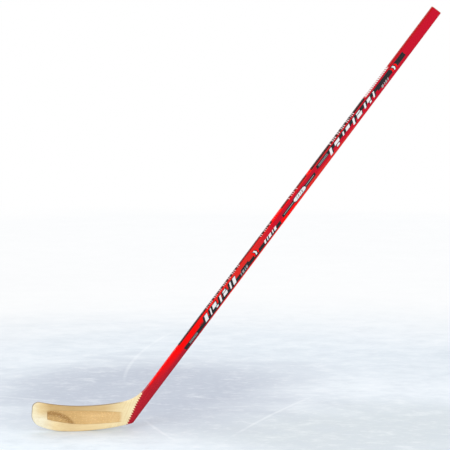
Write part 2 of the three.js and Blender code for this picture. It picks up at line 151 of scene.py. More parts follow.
# Rows of bars: where each bar starts and how wide it is, and the row's upper and lower end
SMALL_ROW = ([(568, 4), (576, 8), (588, 3), (594, 7), (1250, 8), (1262, 3), (1268, 6),
              (1278, 4)], 2.6, 9.4)
CODE_ROW = ([(684, 7), (697, 4), (705, 11), (722, 4), (731, 9)], 0.9, 8.8)
LABEL_ROW = ([(844, 2.5), (851, 4), (860, 2.5), (867, 5)], -1.6, 5.0)
# Lines and bands: start, end, upper and lower side, and the leans of the two ends
DARK_LINES = [(376, 398, row, row + 0.7, (0.5, 0.5)) for row in (-2.2, -0.6, 1.0)]
GREY_LINES = [(320, 358, row, row + 1.5, (0.5, 0.5)) for row in (4.2, 7.2)]
GREY_LINES += [(956, 1000, row, row + 1.6, (0.5, 0.5)) for row in (-6.4, -3.2)]
GREY_LINES += [(start, end, 0.4, 2.4, (0.0, 0.0)) for start, end in ((782, 832), (884, 927))]
WHITE_LABEL = [(832, 884, -3.2, 1.7, (1.9, -1.9)), (832, 884, 1.7, 6.6, (-1.9, 1.9))]
DARK_BANDS = [(298, 761, 1.9, 11.4, (-0.1, 0.4)), (948, 1367, -9.2, 0.6, (0.3, 0.1)),
              (1236, 1367, 0.6, 5.4, (0.6, 0.1)), (776, 834, -2.9, 5.8, (0.4, 0.0)),
              (882, 933, -2.9, 5.8, (0.0, 0.4)), (828, 888, -5.2, 1.7, (1.7, -1.7)),
              (828, 888, 1.7, 8.6, (-1.7, 1.7)), (576, 612, -2.4, 1.9, (0.4, 0.4))]
# Groups of chevrons: where each starts, its middle line and half its height
CHEVRONS = [(634, 0.6, 6.8), (1305, -0.6, 6.4)]
CHEVRON_PITCH, CHEVRON_WIDTH, CHEVRON_LEAN = 8.5, 5.5, 0.55
GREY_INK = (0.30, 0.31, 0.31)
UP_SHAFT = Vector((ALONG[0], 0.0, ALONG[1]))
# Ink reaches this far into the paint, and a plate is this much longer before its ends are cut
INK_SINK, PLATE_SPARE = 0.02, 0.2

# Stage, in the frame's metres, with each light's place from the camera's aim, size and power
CAMERA_AIM = Vector((-0.5918, 0.0, -0.5663))
SENSOR_WIDTH, CLIP_END = 36, 200
FLOOR_RADIUS, FLOOR_GAP = 40, 0.0002
WORLD_LIGHT = 0.80
SOFT_LIGHTS = [
    ("key_light", (-2.6, -4.2, 3.4), 3.6, 108.0),
    ("fill_light", (3.6, -3.0, 1.6), 3.2, 38.0),
    ("back_light", (1.5, 4.5, 3.2), 3.5, 55.0),
]


class StickSizes(bpy.types.PropertyGroup):
    paint_thickness: bpy.props.FloatProperty(
        name="Paint thickness", description="Paint on the shaft's faces",
        default=0.0001, min=0.00002, max=0.0005, unit="LENGTH", precision=5)
    lacquer_thickness: bpy.props.FloatProperty(
        name="Cloth and lacquer", description="Glass cloth and lacquer on the blade's faces",
        default=0.00105, min=0.0009, max=0.0014, unit="LENGTH", precision=5)
    edge_coat: bpy.props.FloatProperty(
        name="Edge coat", description="Paint or lacquer round the narrow edges",
        default=0.00015, min=0.00005, max=0.0005, unit="LENGTH", precision=5)
    print_thickness: bpy.props.FloatProperty(
        name="Print thickness", description="Thickness of one printed layer",
        default=0.00005, min=0.00002, max=0.0002, unit="LENGTH", precision=5)


class StickColours(bpy.types.PropertyGroup):
    heel_crimson: bpy.props.FloatVectorProperty(
        name="Heel crimson", description="Darker paint round the heel",
        default=(0.44, 0.012, 0.024), subtype="COLOR", min=0, max=1)
    crimson: bpy.props.FloatVectorProperty(
        name="Crimson", description="Paint of the upper shaft",
        default=(0.53, 0.005, 0.022), subtype="COLOR", min=0, max=1)
    bright_red: bpy.props.FloatVectorProperty(
        name="Bright red", description="Sprayed red along the edges",
        default=(0.95, 0.0008, 0.0006), subtype="COLOR", min=0, max=1)
    anthracite: bpy.props.FloatVectorProperty(
        name="Anthracite", description="Dark printed bands",
        default=(0.018, 0.019, 0.021), subtype="COLOR", min=0, max=1)
    white: bpy.props.FloatVectorProperty(
        name="White", description="White printed bars",
        default=(0.81, 0.81, 0.80), subtype="COLOR", min=0, max=1)


class StickStage(bpy.types.PropertyGroup):
    floor: bpy.props.FloatVectorProperty(
        name="Floor", description="Pale floor near the stick",
        default=(0.70, 0.765, 0.83), subtype="COLOR", min=0, max=1)
    azimuth: bpy.props.FloatProperty(
        name="Azimuth", description="Camera's turn round the stick",
        default=math.radians(-12.0), subtype="ANGLE")
    elevation: bpy.props.FloatProperty(
        name="Elevation", description="Camera's height over the horizon",
        default=math.radians(9.0), subtype="ANGLE")
    distance: bpy.props.FloatProperty(
        name="Distance", description="Camera's distance from the middle of the stick",
        default=12.0, min=2.0, max=40.0, unit="LENGTH")
    lens: bpy.props.FloatProperty(
        name="Lens", description="Focal length in millimetres",
        default=331.0, min=20.0, max=800.0)


# ---- Form of the stick -------------------------------------------------------------------

def to_frame(x, y, z):
    """A stick place in the frame's metres."""
    return Vector(((x - GRIP_X) / 1000, y / 1000, (z - GRIP_Z) / 1000))


def on_shaft(along, across):
    """X and Z of a place on the shaft."""
    x = SHAFT_FOOT + along * ALONG[0] + across * ACROSS[0]
    return x, along * ALONG[1] + across * ACROSS[1]


def shaft_places(x, z):
    """Distance along and across the shaft of a stick place."""
    run = x - SHAFT_FOOT
    return run * ALONG[0] + z * ALONG[1], run * ACROSS[0] + z * ACROSS[1]


def clamp(value):
    return min(1.0, max(0.0, value))


def smooth(value, low, high):
    share = clamp((value - low) / (high - low))
    return share * share * (3 - 2 * share)


def arc_rise(radius, run):
    return math.sqrt(max(0.0, radius * radius - run * run))


ROCKER_CENTRE = arc_rise(ROCKER_RADIUS, REST_LENGTH / 2)
SWEEP_CENTRE = ROCKER_CENTRE - arc_rise(ROCKER_RADIUS - SWEEP_RADIUS, SWEEP_AT)
SWEEP_END = SWEEP_AT * ROCKER_RADIUS / (ROCKER_RADIUS - SWEEP_RADIUS)
TOE_CENTRE_X = TOE_RADIUS - TOE_REACH
TOE_RUN = TOE_CENTRE_X - SWEEP_AT
TOE_CENTRE_Z = SWEEP_CENTRE - arc_rise(SWEEP_RADIUS - TOE_RADIUS, TOE_RUN)
TOE_ARC_END = TOE_CENTRE_X + TOE_RUN * TOE_RADIUS / (SWEEP_RADIUS - TOE_RADIUS)


def sole_height(x):
    """Height of the sole over the ice."""
    if x < TOE_ARC_END:
        return TOE_CENTRE_Z - arc_rise(TOE_RADIUS, x - TOE_CENTRE_X)
    if x < SWEEP_END:
        return SWEEP_CENTRE - arc_rise(SWEEP_RADIUS, x - SWEEP_AT)
    return max(0.0, ROCKER_CENTRE - arc_rise(ROCKER_RADIUS, x))


def top_arc(x):
    return WAIST_HEIGHT + TOP_RADIUS - arc_rise(TOP_RADIUS, x - WAIST_AT)


TOE_EDGE_X = TOE_CENTRE_X - TOE_RADIUS * math.cos(TOE_LEAN)
TOE_EDGE_Z = TOE_CENTRE_Z + TOE_RADIUS * math.sin(TOE_LEAN)


def slide(place, way, centre, distance):
    """The first of the two places on a line that lie at a distance from a centre."""
    run, rise = place[0] - centre[0], place[1] - centre[1]
    nearest = run * way[0] + rise * way[1]
    shift = -nearest - math.sqrt(nearest ** 2 - run ** 2 - rise ** 2 + distance ** 2)
    return place[0] + way[0] * shift, place[1] + way[1] * shift


def toe_corner():
    """Centre of the toe's rounded top corner, and where it starts and ends along X."""
    up = math.sin(TOE_LEAN), math.cos(TOE_LEAN)
    inner = TOE_EDGE_X + up[1] * TOE_CORNER_RADIUS, TOE_EDGE_Z - up[0] * TOE_CORNER_RADIUS
    whole = TOP_RADIUS + TOE_CORNER_RADIUS
    centre = slide(inner, up, (WAIST_AT, WAIST_HEIGHT + TOP_RADIUS), whole)
    end = centre[0] + (WAIST_AT - centre[0]) * TOE_CORNER_RADIUS / whole
    return centre, centre[0] - up[1] * TOE_CORNER_RADIUS, end


TOE_CORNER, TOE_CORNER_START, TOE_CORNER_END = toe_corner()


def toe_edge_height(x):
    """Height of the toe's edge, from its tip over its rounded top corner."""
    if x < TOE_EDGE_X:
        return TOE_CENTRE_Z + arc_rise(TOE_RADIUS, x - TOE_CENTRE_X)
    if x < TOE_CORNER_START:
        return TOE_EDGE_Z + (x - TOE_EDGE_X) / math.tan(TOE_LEAN)
    return TOE_CORNER[1] + arc_rise(TOE_CORNER_RADIUS, x - TOE_CORNER[0])


def heel_sweep():
    """The three control points of the curve from the blade's top into the shaft."""
    start = (HEEL_BLEND_START, top_arc(HEEL_BLEND_START))
    run = HEEL_BLEND_START - WAIST_AT
    slope = run / arc_rise(TOP_RADIUS, run)
    foot = on_shaft(0, -SHAFT_HALF_WIDTH)
    rise = start[1] - slope * (start[0] - foot[0]) - foot[1]
    distance = rise / (ALONG[1] - slope * ALONG[0])
    corner = on_shaft(distance, -SHAFT_HALF_WIDTH)
    end = on_shaft(distance + HEEL_BLEND_RISE, -SHAFT_HALF_WIDTH)
    return start, corner, end


SWEEP = heel_sweep()


def top_height(x):
    """Height of the blade's top edge, up to where it has become the shaft's upper edge."""
    if x < SWEEP[0][0]:
        return toe_edge_height(x) if x < TOE_CORNER_END else top_arc(x)
    if x >= SWEEP[2][0]:
        return SWEEP[2][1] + (x - SWEEP[2][0]) * math.tan(SHAFT_LEAN)
    (x0, z0), (x1, z1), (x2, z2) = SWEEP
    a, b, c = x0 - 2 * x1 + x2, 2 * (x1 - x0), x0 - x
    t = (2 * -c) / (b + math.sqrt(b * b - 4 * a * c))
    return (1 - t) ** 2 * z0 + 2 * t * (1 - t) * z1 + t * t * z2


def middle(x, z):
    """Middle of the thickness: the blade's curve and twist."""
    bend = max(0.0, CURVE_START - x) / (CURVE_START + TOE_REACH)
    return CURVE_DEPTH * bend * bend - TAN_TWIST * (z - WAIST_HEIGHT / 2) * bend


def shaft_half(along):
    """Half the shaft's thickness, which the planed part brings down towards the heel."""
    share = clamp((along - PLANED_FROM) / (PLANED_TO - PLANED_FROM))
    return (HEEL_THICKNESS + (SHAFT_THICKNESS - HEEL_THICKNESS) * share) / 2


def form_half(x, z, paint, lacquer):
    """Half thickness under the coats, with the heel thinning from the shaft to the blade."""
    along, across = shaft_places(x, z)
    share = clamp((x + TOE_REACH) / (TENON_FROM + TOE_REACH))
    thin = (TOE_THICKNESS + (TENON_THICKNESS - TOE_THICKNESS) * share) / 2 + lacquer
    thick = shaft_half(along) + paint
    away = clamp((-SHAFT_HALF_WIDTH - across) / CHEEK_LENGTH)
    return thin + (thick - thin) * (1 + math.cos(math.pi * away)) / 2


def heel_corner():
    """Centre of the heel's rounded corner, and where it leaves the sole."""
    inner = on_shaft(0, SHAFT_HALF_WIDTH + CORNER_CLEARANCE - HEEL_CORNER_RADIUS)
    centre = slide(inner, ALONG, (0.0, ROCKER_CENTRE), ROCKER_RADIUS - HEEL_CORNER_RADIUS)
    return centre, math.atan2(centre[1] - ROCKER_CENTRE, centre[0])


CORNER, CORNER_START = heel_corner()
CORNER_END = math.atan2(ACROSS[1], ACROSS[0])


def lerp(a, b, share):
    return a + (b - a) * share


def spaced(first, last, count):
    return [lerp(first, last, i / count) for i in range(count + 1)]


TOE_STATIONS = [d - TOE_REACH for d in (0.003, 0.015, 0.035)] + [TOE_EDGE_X]
TOE_STATIONS += spaced(TOE_EDGE_X, TOE_CORNER_START, 4)[1:]
TOE_STATIONS += [TOE_CORNER_START + d for d in (0.08, 0.3, 0.7, 1.3, 2.1, 3.2, 4.7, 6.6, 8.8)]
TOE_STATIONS += spaced(TOE_CORNER_START + 11, DENSE_END, 8)


def upper_line():
    """Outline over the blade's top and up the shaft's upper edge, from the toe's tip."""
    xs = TOE_STATIONS + spaced(DENSE_END, HEEL_BLEND_START, 120)[1:]
    xs += spaced(HEEL_BLEND_START, SWEEP[2][0], 24)[1:]
    points = [(x, top_height(x)) for x in xs]
    start = shaft_places(*points[-1])[0]
    return points + [on_shaft(s, -SHAFT_HALF_WIDTH) for s in spaced(start, AXIS_LENGTH, 40)[1:]]


def lower_line():
    """Outline along the sole, round the heel's corner and up the shaft's lower edge."""
    corner_x = CORNER[0] + HEEL_CORNER_RADIUS * math.cos(CORNER_START)
    xs = TOE_STATIONS + spaced(DENSE_END, corner_x, 120)[1:]
    points = [(x, sole_height(x)) for x in xs]
    for angle in spaced(CORNER_START, CORNER_END, 12)[1:]:
        points.append((CORNER[0] + HEEL_CORNER_RADIUS * math.cos(angle),
                       CORNER[1] + HEEL_CORNER_RADIUS * math.sin(angle)))
    start = shaft_places(*points[-1])[0]
    return points + [on_shaft(s, SHAFT_HALF_WIDTH) for s in spaced(start, AXIS_LENGTH, 40)[1:]]


UPPER, LOWER = upper_line(), lower_line()
OUTLINE = np.array(LOWER[::-1] + UPPER)


def outline_distance(places):
    """Distance from each place to the stick's outline."""
    start, step = OUTLINE[:-1], OUTLINE[1:] - OUTLINE[:-1]
    length = (step ** 2).sum(axis=1)
    offset = np.array(places)[:, None, :] - start[None, :, :]
    share = np.clip((offset * step[None]).sum(axis=2) / length[None], 0, 1)
    gap = offset - share[:, :, None] * step[None]
    return np.sqrt((gap ** 2).sum(axis=2).min(axis=1))


def walk(line, first, last, count):
    """Evenly spaced places on a line, between the places nearest to first and last."""
    points = np.array(line)
    lengths = np.concatenate([[0], np.cumsum(np.hypot(*np.diff(points, axis=0).T))])
    ends = []
    for target in (first, last):
        i = int(np.argmin(np.hypot(*(points - np.array(target)).T)))
        low, high = max(0, i - 1), min(len(points) - 1, i + 1)
        fine = np.linspace(lengths[low], lengths[high], 60)
        xs, zs = np.interp(fine, lengths, points[:, 0]), np.interp(fine, lengths, points[:, 1])
        ends.append(fine[int(np.argmin(np.hypot(xs - target[0], zs - target[1])))])
    at = np.linspace(ends[0], ends[1], count + 1)
    return list(zip(np.interp(at, lengths, points[:, 0]), np.interp(at, lengths, points[:, 1])))


def beside_paint_edge(shift):
    """A place on the painted side of the lower end of the paint's edge."""
    return (PAINT_EDGE_FOOT[0] + shift * math.sin(PAINT_EDGE_ANGLE),
            PAINT_EDGE_FOOT[1] - shift * math.cos(PAINT_EDGE_ANGLE))


def blade_sections():
    """Pairs of places on the sole and on the top edge, from the toe to the coats' joint."""
    xs = TOE_STATIONS + spaced(DENSE_END, FAN_START, 28)[1:]
    pairs = [((x, sole_height(x)), (x, top_height(x))) for x in xs]
    low = beside_paint_edge(COAT_JOINT_SHIFT)
    high = on_shaft(COAT_JOINT_ALONG, -SHAFT_HALF_WIDTH)
    lows = walk(LOWER, pairs[-1][0], low, 30)[1:]
    highs = walk(UPPER, pairs[-1][1], high, 30)[1:]
    return pairs + list(zip(lows, highs))


def shaft_sections(first):
    """Pairs of places on the shaft's two edges, from the coats' joint to the butt end."""
    start, heel_end = PLANED_FROM + SQUARE_AFTER, on_shaft(HEEL_PASSED, SHAFT_HALF_WIDTH)
    lows = walk(LOWER, first[0], heel_end, 16)
    lows += walk(LOWER, heel_end, on_shaft(start, SHAFT_HALF_WIDTH), 24)[1:]
    highs = walk(UPPER, first[1], on_shaft(start, -SHAFT_HALF_WIDTH), 40)
    stops = spaced(start, PLANED_TO, 12)[1:]
    stops += spaced(PLANED_TO, AXIS_LENGTH - BUTT_CHAMFER - BUTT_GAP, 40)[1:]
    upper = [(on_shaft(s, SHAFT_HALF_WIDTH), on_shaft(s, -SHAFT_HALF_WIDTH)) for s in stops]
    return list(zip(lows, highs)) + upper


def edge_radius(place, upper):
    """Rounding of the edge, which grows from the blade's to the shaft's."""
    along = shaft_places(*place)[0]
    if place[0] < CORNER[0]:
        return BLADE_EDGE_RADIUS
    if not upper:
        return lerp(BLADE_EDGE_RADIUS, SHAFT_EDGE_RADIUS, smooth(along, *LOWER_ROUNDING))
    least = lerp(BLADE_EDGE_RADIUS, SHARP_RADIUS, smooth(along, *SHARP_STRETCH))
    return lerp(least, SHAFT_EDGE_RADIUS, smooth(along, *UPPER_ROUNDING))


def skin_rings(pairs, edge_coat, paint, lacquer):
    """Closed rings round the stick, one for each pair, each with its front half first."""
    shares, radii, places = [], [], []
    for low, high in pairs:
        length = math.dist(low, high)
        turns = [1 - math.cos(math.pi / 2 * i / ARC_STEPS) for i in range(ARC_STEPS + 1)]
        ends = [edge_radius(low, False) + edge_coat, edge_radius(high, True) + edge_coat]
        reach = [min(end * EDGE_BAND, BAND_LIMIT * length) for end in ends]
        first = [reach[0] * turn / length for turn in turns]
        last = [1 - reach[1] * turn / length for turn in reversed(turns)]
        inner = spaced(first[-1], last[0], FACE_STEPS)[1:-1]
        row = first + inner + last
        shares.append(row)
        radii.append([lerp(ends[0], ends[1], share) for share in row])
        places += [(lerp(low[0], high[0], t), lerp(low[1], high[1], t)) for t in row]
    depths = outline_distance(places)
    count = len(shares[0])
    rings, rims = [], []
    for index, (low, high) in enumerate(pairs):
        along = Vector((high[0] - low[0], high[1] - low[1])).normalized()
        front, back, rim = [], [], []
        for j in range(count):
            x, z = places[index * count + j]
            depth = depths[index * count + j] + edge_coat
            radius = radii[index][j]
            depth_in = min(depth, radius)
            loss = radius - math.sqrt(max(0.0, radius ** 2 - (radius - depth_in) ** 2))
            half = max(form_half(x, z, paint, lacquer) - loss, LEAST_HALF)
            push = edge_coat * (2 * j / (count - 1) - 1) if j in (0, count - 1) else 0
            x -= edge_coat * clamp((TOE_COAT_FROM - x) / TOE_COAT_RUN)
            x, z = x + along.x * push, z + along.y * push
            y = middle(x, z)
            front.append((x, y - half, z))
            back.append((x, y + half, z))
            rim.append(depth)
        rings.append(front + back[::-1])
        rims.append(rim + rim[::-1])
    return rings, rims


def wall_faces(rings, start, inwards):
    """Faces between neighbouring rings whose points are numbered from start."""
    count = len(rings[0])
    faces = []
    for i in range(len(rings) - 1):
        for j in range(count):
            a, b = start + i * count + j, start + i * count + (j + 1) % count
            quad = (a, b, b + count, a + count)
            faces.append(quad[::-1] if inwards else quad)
    return faces


def end_faces(count, start):
    """A ladder of faces between the two halves of a ring."""
    return [(start + j, start + j + 1, start + count - 2 - j, start + count - 1 - j)
            for j in range(count // 2 - 1)]


def deselect_all():
    if bpy.context.mode != "OBJECT":
        bpy.ops.object.mode_set(mode="OBJECT")
    bpy.ops.object.select_all(action="DESELECT")


def select_only(piece):
    deselect_all()
    piece.select_set(True)
    bpy.context.view_layer.objects.active = piece


def recalculate_outside(piece):
    """Merge points that coincide, and turn all faces outwards."""
    select_only(piece)
    bpy.ops.object.mode_set(mode="EDIT")
    bpy.ops.mesh.select_all(action="SELECT")
    bpy.ops.mesh.remove_doubles(threshold=1e-7)
    # Plates that meet along a whole side keep no wall between them
    bpy.ops.mesh.select_mode(type="FACE")
    bpy.ops.mesh.select_all(action="DESELECT")
    bpy.ops.mesh.select_interior_faces()
    bpy.ops.mesh.delete(type="FACE")
    bpy.ops.mesh.select_mode(type="VERT")
    bpy.ops.mesh.select_all(action="SELECT")
    bpy.ops.mesh.normals_make_consistent(inside=False)
    bpy.ops.object.mode_set(mode="OBJECT")


def coat_shell(name, pairs, closed_start):
    """A thin coat as one closed body: an outer wall and an inner wall, joined at its ends."""
    sizes = bpy.context.scene.stick_sizes
    outer = [1000 * size for size in (sizes.edge_coat, sizes.paint_thickness,
                                      sizes.lacquer_thickness)]
    outside, rim = skin_rings(pairs, *outer)
    inside, _ = skin_rings(pairs, *[share * size for share, size in zip(INNER_SHARES, outer)])
    count = len(outside[0])
    points = [to_frame(*p) for ring in outside + inside for p in ring]
    half = len(outside) * count
    faces = wall_faces(outside, 0, False) + wall_faces(inside, half, True)
    far = (len(outside) - 1) * count
    for base, laddered in ((0, closed_start), (far, False)):
        if laddered:
            faces += end_faces(count, base) + end_faces(count, half + base)
            continue
        for j in range(count):
            a, b = base + j, base + (j + 1) % count
            faces.append((a, b, half + b, half + a))
    mesh = bpy.data.meshes.new(name)
    mesh.from_pydata(points, [], faces)
    piece = bpy.data.objects.new(name, mesh)
    bpy.context.scene.collection.objects.link(piece)
    depth = mesh.attributes.new("from_edge", "FLOAT", "POINT")
    depths = [d for ring in rim for d in ring]
    depth.data.foreach_set("value", depths + depths)
    recalculate_outside(piece)
    bpy.ops.object.shade_smooth_by_angle(angle=math.radians(38))
    return piece


# ---- Shader building ---------------------------------------------------------------------

class Signal:
    """A node's output. Each sign or method on it adds the node that does it."""

    def __init__(self, wires, socket):
        self.wires, self.socket = wires, socket

    def __add__(self, other):
        return self.wires.math("ADD", self, other)

    def __mul__(self, other):
        return self.wires.math("MULTIPLY", self, other)

    def __sub__(self, other):
        return self.wires.math("SUBTRACT", self, other)

    def __rsub__(self, other):
        return self.wires.math("SUBTRACT", other, self)

    def __neg__(self):
        return self * -1.0

    def size(self):
        return self.wires.math("ABSOLUTE", self)

    def pingpong(self, reach):
        return self.wires.math("PINGPONG", self, reach)

    def step(self, low, high):
        """0 below low and 1 above high, smooth between them."""
        inputs = {"Value": self, "From Min": low, "From Max": high}
        return self.wires.out("ShaderNodeMapRange", inputs, "Result",
                              interpolation_type="SMOOTHSTEP")

    def noise(self, scale, detail=2.0, roughness=0.5, distortion=0.0):
        """Noise at this place, with one scale or with one for each axis."""
        place = self
        if isinstance(scale, tuple):
            place = self.wires.out("ShaderNodeVectorMath", {0: self, 1: scale},
                                   operation="MULTIPLY")
            scale = 1.0
        inputs = {"Vector": place, "Scale": scale, "Detail": detail,
                  "Roughness": roughness, "Distortion": distortion}
        return self.wires.out("ShaderNodeTexNoise", inputs, "Fac")


class Wires:
    """Adds nodes to one node tree and joins them."""

    def __init__(self, tree):
        self.tree = tree

    def add(self, kind, inputs=None, **settings):
        node = self.tree.nodes.new(kind)
        for name, value in settings.items():
            setattr(node, name, value)
        for name, value in (inputs or {}).items():
            self.feed(node.inputs[name], value)
        return node

    def feed(self, socket, value):
        if isinstance(value, Signal):
            self.tree.links.new(value.socket, socket)
        else:
            socket.default_value = value

    def give(self, sockets, **values):
        for name, value in values.items():
            self.feed(sockets[name.replace("_", " ")], value)

    def out(self, kind, inputs=None, key=0, **settings):
        return Signal(self, self.add(kind, inputs, **settings).outputs[key])

    def outs(self, node):
        return {socket.name: Signal(self, socket) for socket in node.outputs}

    def math(self, operation, *values, clamp=False):
        return self.out("ShaderNodeMath", dict(enumerate(values)), operation=operation,
                        use_clamp=clamp)

    def most(self, *values):
        total = values[0]
        for value in values[1:]:
            total = self.math("MAXIMUM", total, value)
        return total

    def vector(self, x, y, z):
        return self.out("ShaderNodeCombineXYZ", {0: x, 1: y, 2: z})

    def parts(self, vector):
        return list(self.outs(self.add("ShaderNodeSeparateXYZ", {0: vector})).values())

    def mix(self, share, a, b, blend="MIX"):
        node = self.add("ShaderNodeMix", data_type="RGBA", blend_type=blend)
        self.feed(node.inputs["Factor"], share)
        sockets = [s for s in node.inputs if s.type == "RGBA"]
        self.feed(sockets[0], a)
        self.feed(sockets[1], b)
        return Signal(self, [s for s in node.outputs if s.type == "RGBA"][0])

    def coats(self, base, *layers):
        """Tones laid over a base, each given as its share and its screen colour."""
        for share, tone in layers:
            base = self.mix(share, base, colour(*tone))
        return base

    def group(self, name, **inputs):
        node = self.add("ShaderNodeGroup", node_tree=shader_groups()[name])
        self.give(node.inputs, **inputs)
        return self.outs(node)

    def surface(self, shader, output="ShaderNodeOutputMaterial"):
        self.feed(self.add(output).inputs["Surface"], shader)

    def seen(self):
        """1 for what the camera sees, also in gloss and through glass."""
        path = self.outs(self.add("ShaderNodeLightPath"))
        return self.most(path["Is Camera Ray"], path["Is Glossy Ray"],
                         path["Is Transmission Ray"])


def colour(red, green, blue):
    """Linear colour of an 8-bit screen colour."""
    def linear(value):
        value /= 255
        return value / 12.92 if value <= 0.04045 else ((value + 0.055) / 1.055) ** 2.4
    return linear(red), linear(green), linear(blue), 1.0


SOCKET_KINDS = {"value": "NodeSocketFloat", "colour": "NodeSocketColor",
                "vector": "NodeSocketVector"}


def new_group(name, inputs, outputs):
    """A shader node group with named sockets, its wires, and what comes in and goes out."""
    tree = bpy.data.node_groups.new(name, "ShaderNodeTree")
    for direction, sockets in (("INPUT", inputs), ("OUTPUT", outputs)):
        for socket_name, kind in sockets.items():
            tree.interface.new_socket(socket_name, in_out=direction,
                                      socket_type=SOCKET_KINDS[kind])
    w = Wires(tree)
    return w, w.outs(w.add("NodeGroupInput")), w.add("NodeGroupOutput").inputs


def places_group():
    """Stick places in millimetres, from object coordinates."""
    outputs = {"X": "value", "Y": "value", "Z": "value", "Along": "value", "Across": "value",
               "Grain": "vector", "Blade grain": "vector"}
    w, given, out = new_group("Stick places", {"Point": "vector"}, outputs)
    x, y, z = [part * 1000.0 for part in w.parts(given["Point"])]
    x, z = x + GRIP_X, z + GRIP_Z
    run = x - SHAFT_FOOT
    along = run * ALONG[0] + z * ALONG[1]
    across = run * ACROSS[0] + z * ACROSS[1]
    w.give(out, X=x, Y=y, Z=z, Along=along, Across=across,
           Grain=w.vector(along, across, y), Blade_grain=w.vector(x, z, y))
    return w.tree


def wood_group():
    """Wood grain whose fibres run along the vector's X."""
    inputs = {"Grain": "vector", "Light": "colour", "Dark": "colour",
              "Figure": "value", "Pores": "value"}
    w, given, out = new_group("Wood grain", inputs, {"Colour": "colour", "Height": "value"})
    grain = given["Grain"]
    broad = grain.noise((0.009, 0.085, 0.085), 3.0, 0.55, 0.6)
    streaks = grain.noise((0.02, 0.5, 0.5), 4.0, 0.6, 0.3)
    fibres = grain.noise((0.06, 2.1, 2.1), 3.0, 0.6)
    pores = grain.noise((0.11, 1.7, 1.7), 1.0).step(0.60, 0.70)
    dark = broad.step(0.35, 0.68) * 0.45 + streaks.step(0.4, 0.7) * 0.4 + fibres * 0.3
    share = w.math("ADD", dark * given["Figure"], pores * given["Pores"], clamp=True)
    w.give(out, Colour=w.mix(share, given["Light"], given["Dark"]),
           Height=fibres * 0.6 + pores * -0.5 + streaks)
    return w.tree


def weave_group():
    """Plain weave of glass cloth under clear resin."""
    w, given, out = new_group("Glass weave", {"Grain": "vector", "Pitch": "value"},
                              {"Weave": "value", "Height": "value"})
    grain = given["Grain"]
    wander = grain.noise((0.03, 0.03, 0.03), 1.0)
    warp, weft = [
        w.math("SINE", w.math("DIVIDE", part, given["Pitch"]) * (2 * math.pi) + wander * 3.0)
        for part in w.parts(grain)[:2]]
    broken = grain.noise((0.5, 0.5, 0.5), 2.0).step(0.3, 0.75)
    w.give(out, Weave=(warp * weft * 0.5 + 0.5) * broken,
           Height=warp.size() * 0.5 + weft.size() * 0.5)
    return w.tree


def wear_group():
    """Fine handling marks: faint scratches along the stick and dull patches."""
    inputs = {"Grain": "vector", "Base roughness": "value", "Marks": "value"}
    w, given, out = new_group("Handling wear", inputs,
                              {"Scratch": "value", "Roughness": "value", "Height": "value"})
    grain = given["Grain"]
    patches = grain.noise((0.012, 0.05, 0.05), 3.0)
    lines = w.most(grain.noise((0.035, 2.6, 2.6), 1.0).step(0.70, 0.76),
                   grain.noise((1.1, 0.18, 0.18), 1.0, 0.5, 1.2).step(0.72, 0.78))
    scratch = lines * patches.step(0.45, 0.65) * given["Marks"]
    rough = given["Base roughness"] + (patches - 0.5) * 0.16 + scratch * 0.25
    orange_peel = grain.noise((0.45, 0.45, 0.45))
    w.give(out, Scratch=scratch, Roughness=w.most(rough, 0.08),
           Height=scratch * -0.6 + orange_peel)
    return w.tree


def red_paint_group():
    """Crimson with bright red sprayed over it, as stick places give it."""
    inputs = {"Along": "value", "Across": "value", "Grain": "vector"}
    w, given, out = new_group("Sprayed red", inputs, {"Colour": "colour"})
    colours = bpy.context.scene.stick_colours
    along, sharp, grain = given["Along"], given["Across"], given["Grain"]
    across = sharp + (grain.noise(0.5, 5.0, 0.75) - 0.5) * 5.0
    # The spray begins at the upper edge over the heel and widens up the shaft
    rim = (-across).step(10.2, 12.6) * along.step(146, 157)
    spread = ((across * -3.0 + along).step(137, 325)
              * (across + along.step(380, 600) * -12.0).step(8.5, -3.0))
    # Two centres stay crimson; the lower side and the upper edge stay bright between them
    upper_centre = (along + across * 8.0).step(580, 800) * across.step(8.0, 1.0)
    lower_line = along.step(860, 1160) * 5.0 + along.step(760, 900) * 1.5
    lower = (across - lower_line).step(1.0, 7.5)
    upper = (-across).step(9.5, 12.5)
    kept = w.most(w.most(lower, upper) * (1.0 - along.step(1080, 1250)),
                  1.0 - along.step(600, 790))
    bright = w.most(rim, spread) * kept * (1.0 - upper_centre * (1.0 - upper) * 0.85)
    dim, lit = [(*[share * part for part in colours.heel_crimson], 1) for share in (0.84, 1.16)]
    # Heel crimson varies at random between darker and paler; towards the lower side it is mixed
    # half-way to a darker red, which is painted shade
    heel = w.coats(w.mix(grain.noise(0.36).step(0.36, 0.64), dim, lit),
                   (sharp.step(4.0, 11.0) * 0.5, (158, 34, 46)))
    crimson = w.mix(along.step(250, 700), heel, (*colours.crimson, 1))
    plain = along.step(700, 748) * along.step(860, 815)
    orange = along.step(330, 600) * (1.0 - plain) * (-across).step(13.6, 12.6)
    spray = w.coats((*colours.bright_red, 1), (orange, (217, 44, 38)))
    # Painted highlight: brighter red along the rounding of the lower edge, between 270 and 1000
    # along the shaft, against the shade that falls there
    lower_edge_painted_highlight = sharp.step(11.4, 12.2) * along.step(270, 540) * along.step(1000, 800)
    w.give(out, Colour=w.coats(w.mix(bright, crimson, spray), (lower_edge_painted_highlight, (240, 24, 16))))
    return w.tree


# Where the dashes of the narrow face are dark, and where pale ones stand between them
DARK_ROWS = [(295, 746), (792, 914), (934, 1192)]
LIGHT_ROWS = [(430, 590), (690, 740), (826, 868), (1022, 1146)]


